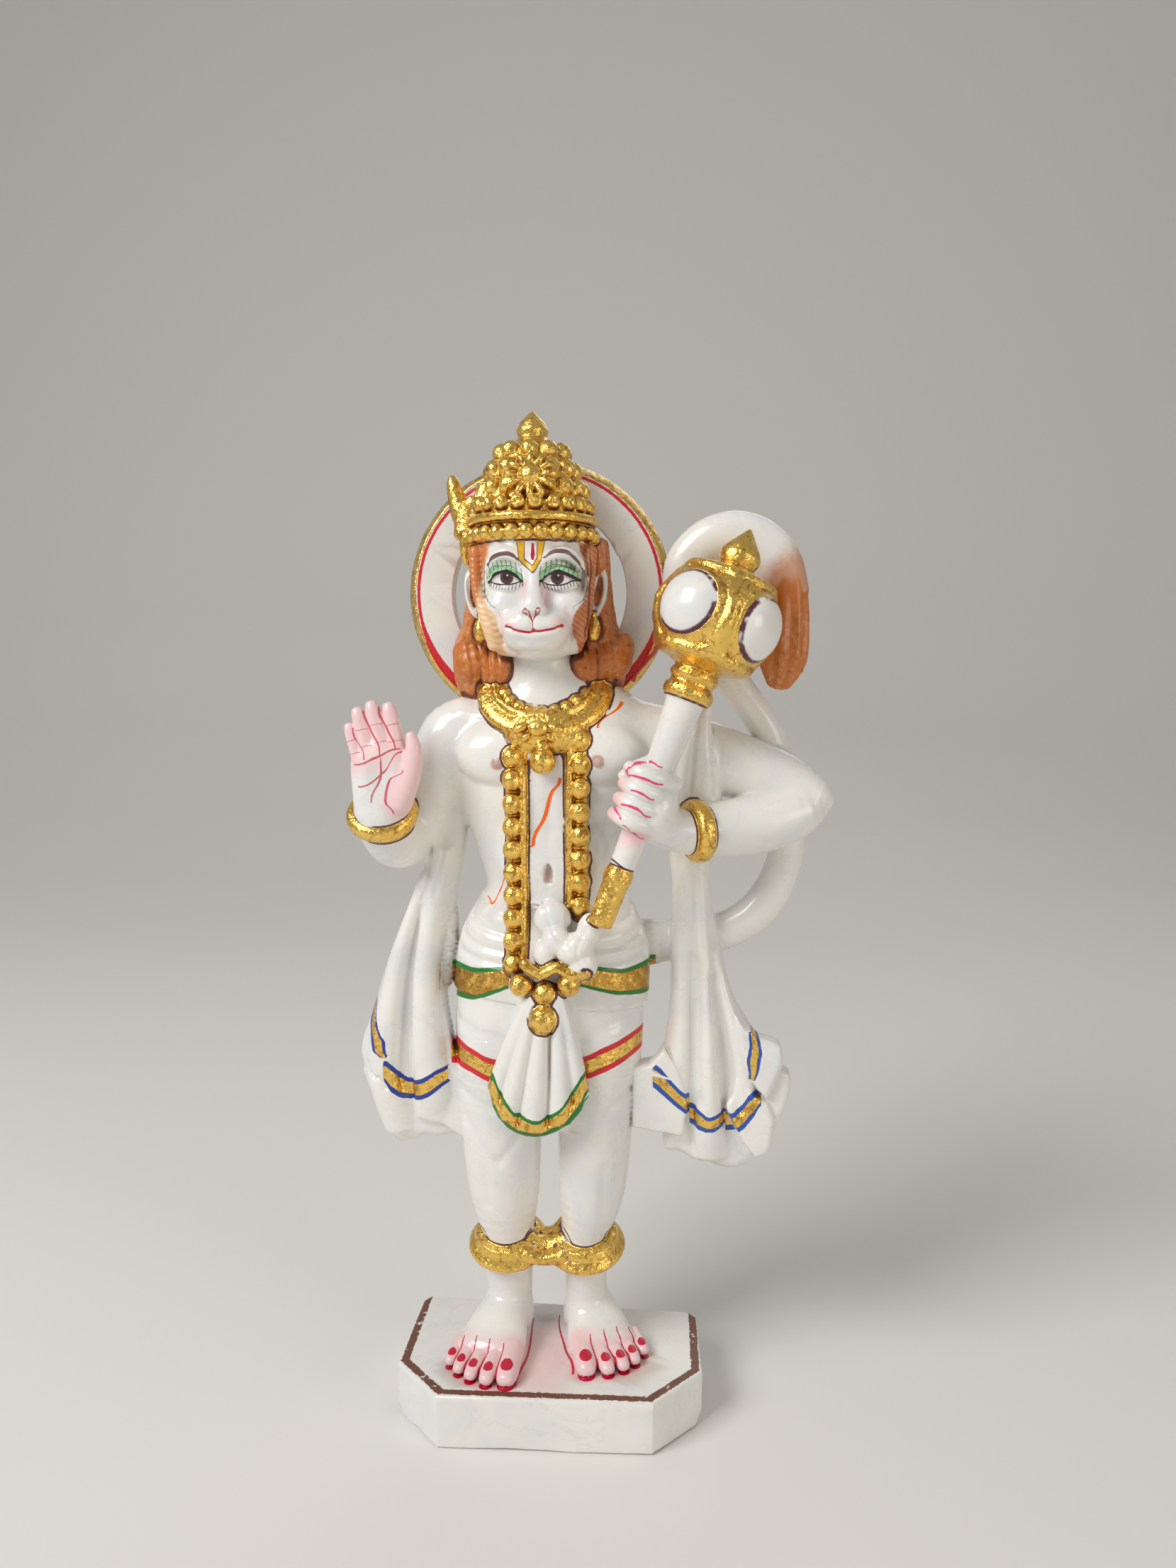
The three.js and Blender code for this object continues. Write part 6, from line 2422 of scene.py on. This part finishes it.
@dataclass(frozen=True)
class Jewels(Portion):
    """The gilded collar, its bosses, and the two strings of beads that fall to the belt."""

    left_string: Triple = (-10.4, 187.4, 125.5)
    right_string: Triple = (9.7, 192.4, 143)
    bead: float = 3.0
    pitch: float = 6.88

    def front(self, z: float) -> float:
        """Gives how far forward the beads lie at a height."""
        return -9.4 - 1.6 * math.sin(math.pi * (z - 118) / 70) + 2.4 * math.exp(-(((z - 150) / 16) ** 2))

    def strip(self, x: float, top: float, low: float) -> list[Step]:
        """Carves the flat band beside a string of beads."""
        rows = [(x, self.front(z) + 0.8, z, 1.15, 1.9) for z in np.linspace(top, low, 9)]
        return [Carving(Limb(rows), 0.3, Coat.GOLD)]

    def carved(self) -> list[Step]:
        """Carves the collar, the strings and the pendants."""
        gold = Coat.GOLD
        steps: list[Step] = [
            Carving(Ring((-1.8, 1.2, 206), 16.2, 13.6, 4.2, 2.4, tip=46), 0.6, gold),
            Carving(Ring((-1.8, 1.4, 206.6), 14.8, 12.8, 1.5, 3, tip=42), 0.4, gold),
            Carving(Lump((-0.9, -8.6, 195), (11.6, 4, 6.6), tip=-8), 0.8, gold),
        ]
        for at in Ring((-1.7, 0.4, 204.4), 16.8, 14.6, 1, 1, tip=46).spots(4.4, -58, 58):
            steps.append(Carving(Lump(at, (1.9, 1.7, 1.9)), 0.3, gold))
        for at in Ring((-1.8, 2, 208), 12.4, 11.6, 1, 1, tip=40).spots(3.8):
            steps.append(Carving(Lump(at, (2, 2, 2)), 0.3, gold))
        steps += [
            Carving(Lump((-2.4, -13.2, 196.1), (3, 1.6, 2.4)), 0.2, gold),
            Carving(Lump((-1.1, -12.8, 186.4), (3.8, 3.6, 3.9)), 0.3, gold),
            Carving(Lump((-1.1, -12.6, 190.8), (2.2, 1.8, 1.6)), 0.3, gold),
        ]
        for side in (-1, 1):
            leaf = Lump((-2.4 + side * 5.2, -12, 196), (2.6, 1.5, 1.3), lean=side * 20)
            steps += [
                Carving(leaf, 0.2, gold),
                Carving(Lump((-2.4 + side * 3.6, -12.4, 193.4), (1.8, 1.3, 1.2), lean=side * 45), 0.2, gold),
            ]
        for x, top, low in (self.left_string, self.right_string):
            count = round((top - low) / self.pitch) + 1
            for z in np.linspace(top, low, count):
                steps.append(
                    Carving(
                        Lump((x, self.front(z), float(z)), (self.bead, self.bead - 0.2, self.bead + 0.3)),
                        0.25,
                        gold,
                    )
                )
            steps.append(
                Carving(
                    Limb([(x, self.front(z) + 1.7, z, 2.1, 1.8) for z in np.linspace(top + 4, low - 3, 12)]),
                    0.4,
                    gold,
                )
            )
        steps += self.strip(-7.2, 191, 126) + self.strip(6.5, 191, 143)
        swag = [
            (x, -15, z, 1.7, 1.9)
            for x, z in ((-6.5, 127), (-4.9, 125.6), (-1.4, 123.9), (3.1, 126), (7.5, 123.7), (11.7, 124.7))
        ]
        steps.append(Carving(Limb(swag), 0.4, gold))
        for x, z in ((-7.6, 120.2), (-0.6, 117.8), (6.5, 120.4)):
            steps.append(Carving(Lump((x, -13.6, z), (3.5, 3.2, 3.5)), 0.4, gold))
        steps.append(Carving(Lump((-0.9, -15.2, 110.3), (4.1, 3.8, 4.4)), 0.4, gold))
        return steps


@dataclass
class Statue:
    """The whole carving: one block of stone that every sub-assembly is cut into."""

    portions: Sequence[Portion]
    finish: PaintedMarble
    low: Triple = (-61.0, -30.0, -18.0)
    high: Triple = (87.0, 31.0, 291.5)
    cell: float = 0.4
    quick_cell: float = 0.8
    rough_cell: float = 1.5
    triangles: int = 194000
    passes: int = 400
    hollow_probe: float = 1.5
    coat_room: float = 4.0

    def steps(self) -> list[Step]:
        """Gives every step of the carving in order."""
        return [step for portion in self.portions for step in portion.carved()]

    def carve(self, steps: Sequence[Step]) -> Block:
        """Carves the block, first roughly and then finely.

        Args:
            steps: The steps of the work.

        Returns:
            The finished block.
        """
        with ThreadPoolExecutor(4) as team:
            rough = Block(self.low, self.high, self.rough_cell)
            for step in steps:
                rough.work(step, team)
            fine = Block(self.low, self.high, self.cell, rough)
            for step in steps:
                fine.work(step, team)
        return fine

    def build(self) -> bpy.types.Object:
        """Carves the statue, skins it and dresses it.

        Returns:
            The finished piece.
        """
        steps = self.steps()
        block = self.carve(steps)
        corners, quads = self.whole(*block.skin())
        log.info("carved %d steps into %d corners", len(steps), len(corners))
        mesh = self.mesh_of("statue", (corners + (0, 0, SOLE_HEIGHT)) * MM, quads)
        piece = bpy.data.objects.new("statue", mesh)
        bpy.context.scene.collection.objects.link(piece)
        self.lighten(piece)
        self.dress(piece, block, steps)
        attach(piece, "root")
        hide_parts("hanuman_figure")
        return piece

    def whole(self, corners: Array, quads: Array) -> tuple[Array, Array]:
        """Keeps the largest island of the skin and drops crumbs.

        Args:
            corners: The skin's corners.
            quads: Its quads.

        Returns:
            The kept corners and quads.
        """
        labels = np.arange(len(corners))
        for _ in range(self.passes):
            least = labels[quads].min(axis=1)
            fresh = labels.copy()
            for k in range(4):
                np.minimum.at(fresh, quads[:, k], least)
            fresh = fresh[fresh]
            if np.array_equal(fresh, labels):
                break
            labels = fresh
        names, counts = np.unique(labels, return_counts=True)
        keep = labels == names[np.argmax(counts)]
        log.info("kept %d of %d corners in %d islands", keep.sum(), len(corners), len(names))
        number = np.cumsum(keep) - 1
        return corners[keep], number[quads[keep[quads[:, 0]]]]

    def mesh_of(self, name: str, corners: Array, quads: Array) -> bpy.types.Mesh:
        """Makes a mesh out of corners and quads."""
        mesh = bpy.data.meshes.new(name)
        mesh.vertices.add(len(corners))
        mesh.vertices.foreach_set("co", corners.astype(np.float32).ravel())
        mesh.loops.add(quads.size)
        mesh.loops.foreach_set("vertex_index", quads.astype(np.int32).ravel())
        mesh.polygons.add(len(quads))
        mesh.polygons.foreach_set("loop_start", np.arange(0, quads.size, 4, dtype=np.int32))
        mesh.update(calc_edges=True)
        mesh.validate()
        return mesh

    def lighten(self, piece: bpy.types.Object) -> None:
        """Takes the mesh down to its number of triangles."""
        faces = 2 * len(piece.data.polygons)
        if faces > self.triangles:
            modifier = piece.modifiers.new("lighten", "DECIMATE")
            modifier.ratio = self.triangles / faces
            slim = bpy.data.meshes.new_from_object(piece.evaluated_get(bpy.context.evaluated_depsgraph_get()))
            piece.modifiers.clear()
            piece.data = slim
        log.info("statue has %d faces", len(piece.data.polygons))

    def dress(self, piece: bpy.types.Object, block: Block, steps: Sequence[Step]) -> None:
        """Lays on the coats, the canvases and the smooth shading.

        Args:
            piece: The statue.
            block: The carved block.
            steps: The steps of the work, some with coats.
        """
        mesh = piece.data
        flat = np.empty(3 * len(mesh.vertices), np.float32)
        mesh.vertices.foreach_get("co", flat)
        points = flat.reshape(-1, 3) / np.float32(MM) - np.array([0, 0, SOLE_HEIGHT], np.float32)
        out = block.slope(points)
        for coat in (Coat.GOLD, Coat.HAIR, Coat.NAIL, Coat.ROSE):
            self.write(mesh, coat.value, self.coat_reach(points, coat, steps))
        probe = self.hollow_probe
        # How deep in a hollow each corner lies; the finish darkens these places as painted shade.
        self.write(mesh, "hollow", 1 - block.sample(points + probe * out) / probe)
        piece.data.polygons.foreach_set("use_smooth", np.ones(len(mesh.polygons), bool))
        mesh.normals_split_custom_set_from_vertices(out.tolist())
        self.lay_canvases(piece)

    def write(self, mesh: bpy.types.Mesh, name: str, numbers: Array) -> None:
        """Stores a number for each corner of the mesh."""
        mesh.attributes.new(name, "FLOAT", "POINT").data.foreach_set("value", numbers.astype(np.float32))

    def coat_reach(self, points: Array, coat: Coat, steps: Sequence[Step]) -> Array:
        """Measures how far points are from the forms that carry a coat."""
        best = np.full(len(points), FAR, np.float32)
        for step in steps:
            if not isinstance(step, Carving) or step.coat is not coat:
                continue
            low, high = step.form.reach()
            inside = (points > low - self.coat_room) & (points < high + self.coat_room)
            near = np.flatnonzero(np.all(inside, axis=1))
            if len(near):
                best[near] = np.minimum(best[near], step.form.distance(points[near]))
        return best

    def lay_canvases(self, piece: bpy.types.Object) -> None:
        """Gives each painted area its own finish."""
        mesh = piece.data
        flat = np.empty(3 * len(mesh.polygons), np.float32)
        mesh.polygons.foreach_get("center", flat)
        centres = flat.reshape(-1, 3) / MM - (0, 0, SOLE_HEIGHT)
        mesh.materials.clear()
        mesh.materials.append(self.finish.dress("painted marble", ()))
        chosen = np.zeros(len(centres), np.int32)
        canvases = [canvas for portion in self.portions for canvas in portion.painted()]
        for i, canvas in enumerate(canvases, 1):
            inside = np.all((centres > canvas.low) & (centres < canvas.high), axis=1) & (chosen == 0)
            chosen[inside] = i
            mesh.materials.append(self.finish.dress(f"painted marble, {canvas.name}", canvas.layers))
            log.info("canvas %s covers %d faces", canvas.name, inside.sum())
        mesh.polygons.foreach_set("material_index", chosen)


@dataclass
class Studio:
    """A pale floor, soft lights and the camera that took the photograph."""

    eye: Triple = (0.0324, -0.3533, 0.2262)
    tilt: Triple = (85.0, 0.0, 3.4)
    lens: float = 1661 / 2212 * 36
    floor_card: Triple = (236, 234, 230)

    def build(self) -> None:
        """Sets up the floor, the lights, the surroundings and the camera."""
        self.floor()
        self.light("window", (-0.75, -0.7, 0.95), 0.6, 11.5, (1.0, 0.99, 0.98))
        self.light("fill", (0.9, -0.7, 0.35), 0.5, 2.2, (1.0, 0.94, 0.86))
        self.light("back", (0.3, 0.8, 0.8), 0.5, 0.8, (1.0, 1.0, 1.0))
        self.surroundings()
        self.camera()
        bpy.context.scene.view_settings.view_transform = "Standard"

    def floor(self) -> None:
        """Lays a plain pale floor that curves up behind."""
        rows = [
            (-1.4, 0.0), (0.7, 0.0), (0.9, 0.012), (1.1, 0.06), (1.3, 0.16), (1.45, 0.32), (1.55, 0.6),
            (1.6, 1.6),
        ]
        corners = [(x, y, z) for y, z in rows for x in (-2.2, 2.2)]
        faces = [(2 * i, 2 * i + 1, 2 * i + 3, 2 * i + 2) for i in range(len(rows) - 1)]
        mesh = bpy.data.meshes.new("floor")
        mesh.from_pydata(corners, [], faces)
        mesh.polygons.foreach_set("use_smooth", np.ones(len(faces), bool))
        paper = bpy.data.materials.new("paper")
        paper.use_nodes = True
        shader = paper.node_tree.nodes["Principled BSDF"]
        shader.inputs["Base Color"].default_value = linear(*self.floor_card)
        shader.inputs["Roughness"].default_value = 0.85
        mesh.materials.append(paper)
        floor = bpy.data.objects.new("floor", mesh)
        bpy.context.scene.collection.objects.link(floor)

    def light(self, name: str, at: Triple, size: float, watts: float, colour: Triple) -> None:
        """Hangs a soft square light that faces the figure."""
        lamp = bpy.data.lights.new(name, "AREA")
        lamp.size, lamp.energy, lamp.color = size, watts, colour
        hung = bpy.data.objects.new(name, lamp)
        hung.location = at
        hung.rotation_euler = (Vector((0, 0, 0.16)) - Vector(at)).to_track_quat("-Z", "Y").to_euler()
        bpy.context.scene.collection.objects.link(hung)

    def surroundings(self) -> None:
        """Lights the room a little all round."""
        world = bpy.data.worlds.new("room")
        world.use_nodes = True
        sky = world.node_tree.nodes["Background"]
        sky.inputs["Color"].default_value = (1.0, 0.98, 0.95, 1.0)
        sky.inputs["Strength"].default_value = 0.3
        bpy.context.scene.world = world

    def camera(self) -> None:
        """Sets the camera where the photograph was taken from."""
        lens = bpy.data.cameras.new("camera")
        lens.lens, lens.sensor_width, lens.sensor_fit = self.lens, 36, "AUTO"
        lens.clip_start = 0.01
        camera = bpy.data.objects.new("camera", lens)
        camera.location = self.eye
        camera.rotation_euler = [math.radians(a) for a in self.tilt]
        bpy.context.scene.collection.objects.link(camera)
        bpy.context.scene.camera = camera


def main() -> None:
    """Builds the statue and the studio."""
    logging.basicConfig(level=logging.INFO, format="%(name)s: %(message)s")
    portions = (
        Plinth(),
        Feet(),
        Legs(),
        Loincloth(),
        Torso(),
        ClubArm(),
        BlessingArm(),
        Shawl(),
        Tail(),
        Halo(),
        Head(),
        Hair(),
        Crown(),
        Mace(),
        Jewels(),
    )
    for portion in portions:
        log.info("laying out the %s", type(portion).__name__)
    statue = Statue(portions, PaintedMarble())
    piece = statue.build()
    Studio().build()
    bpy.context.view_layer.update()


if __name__ == "__main__":
    main()
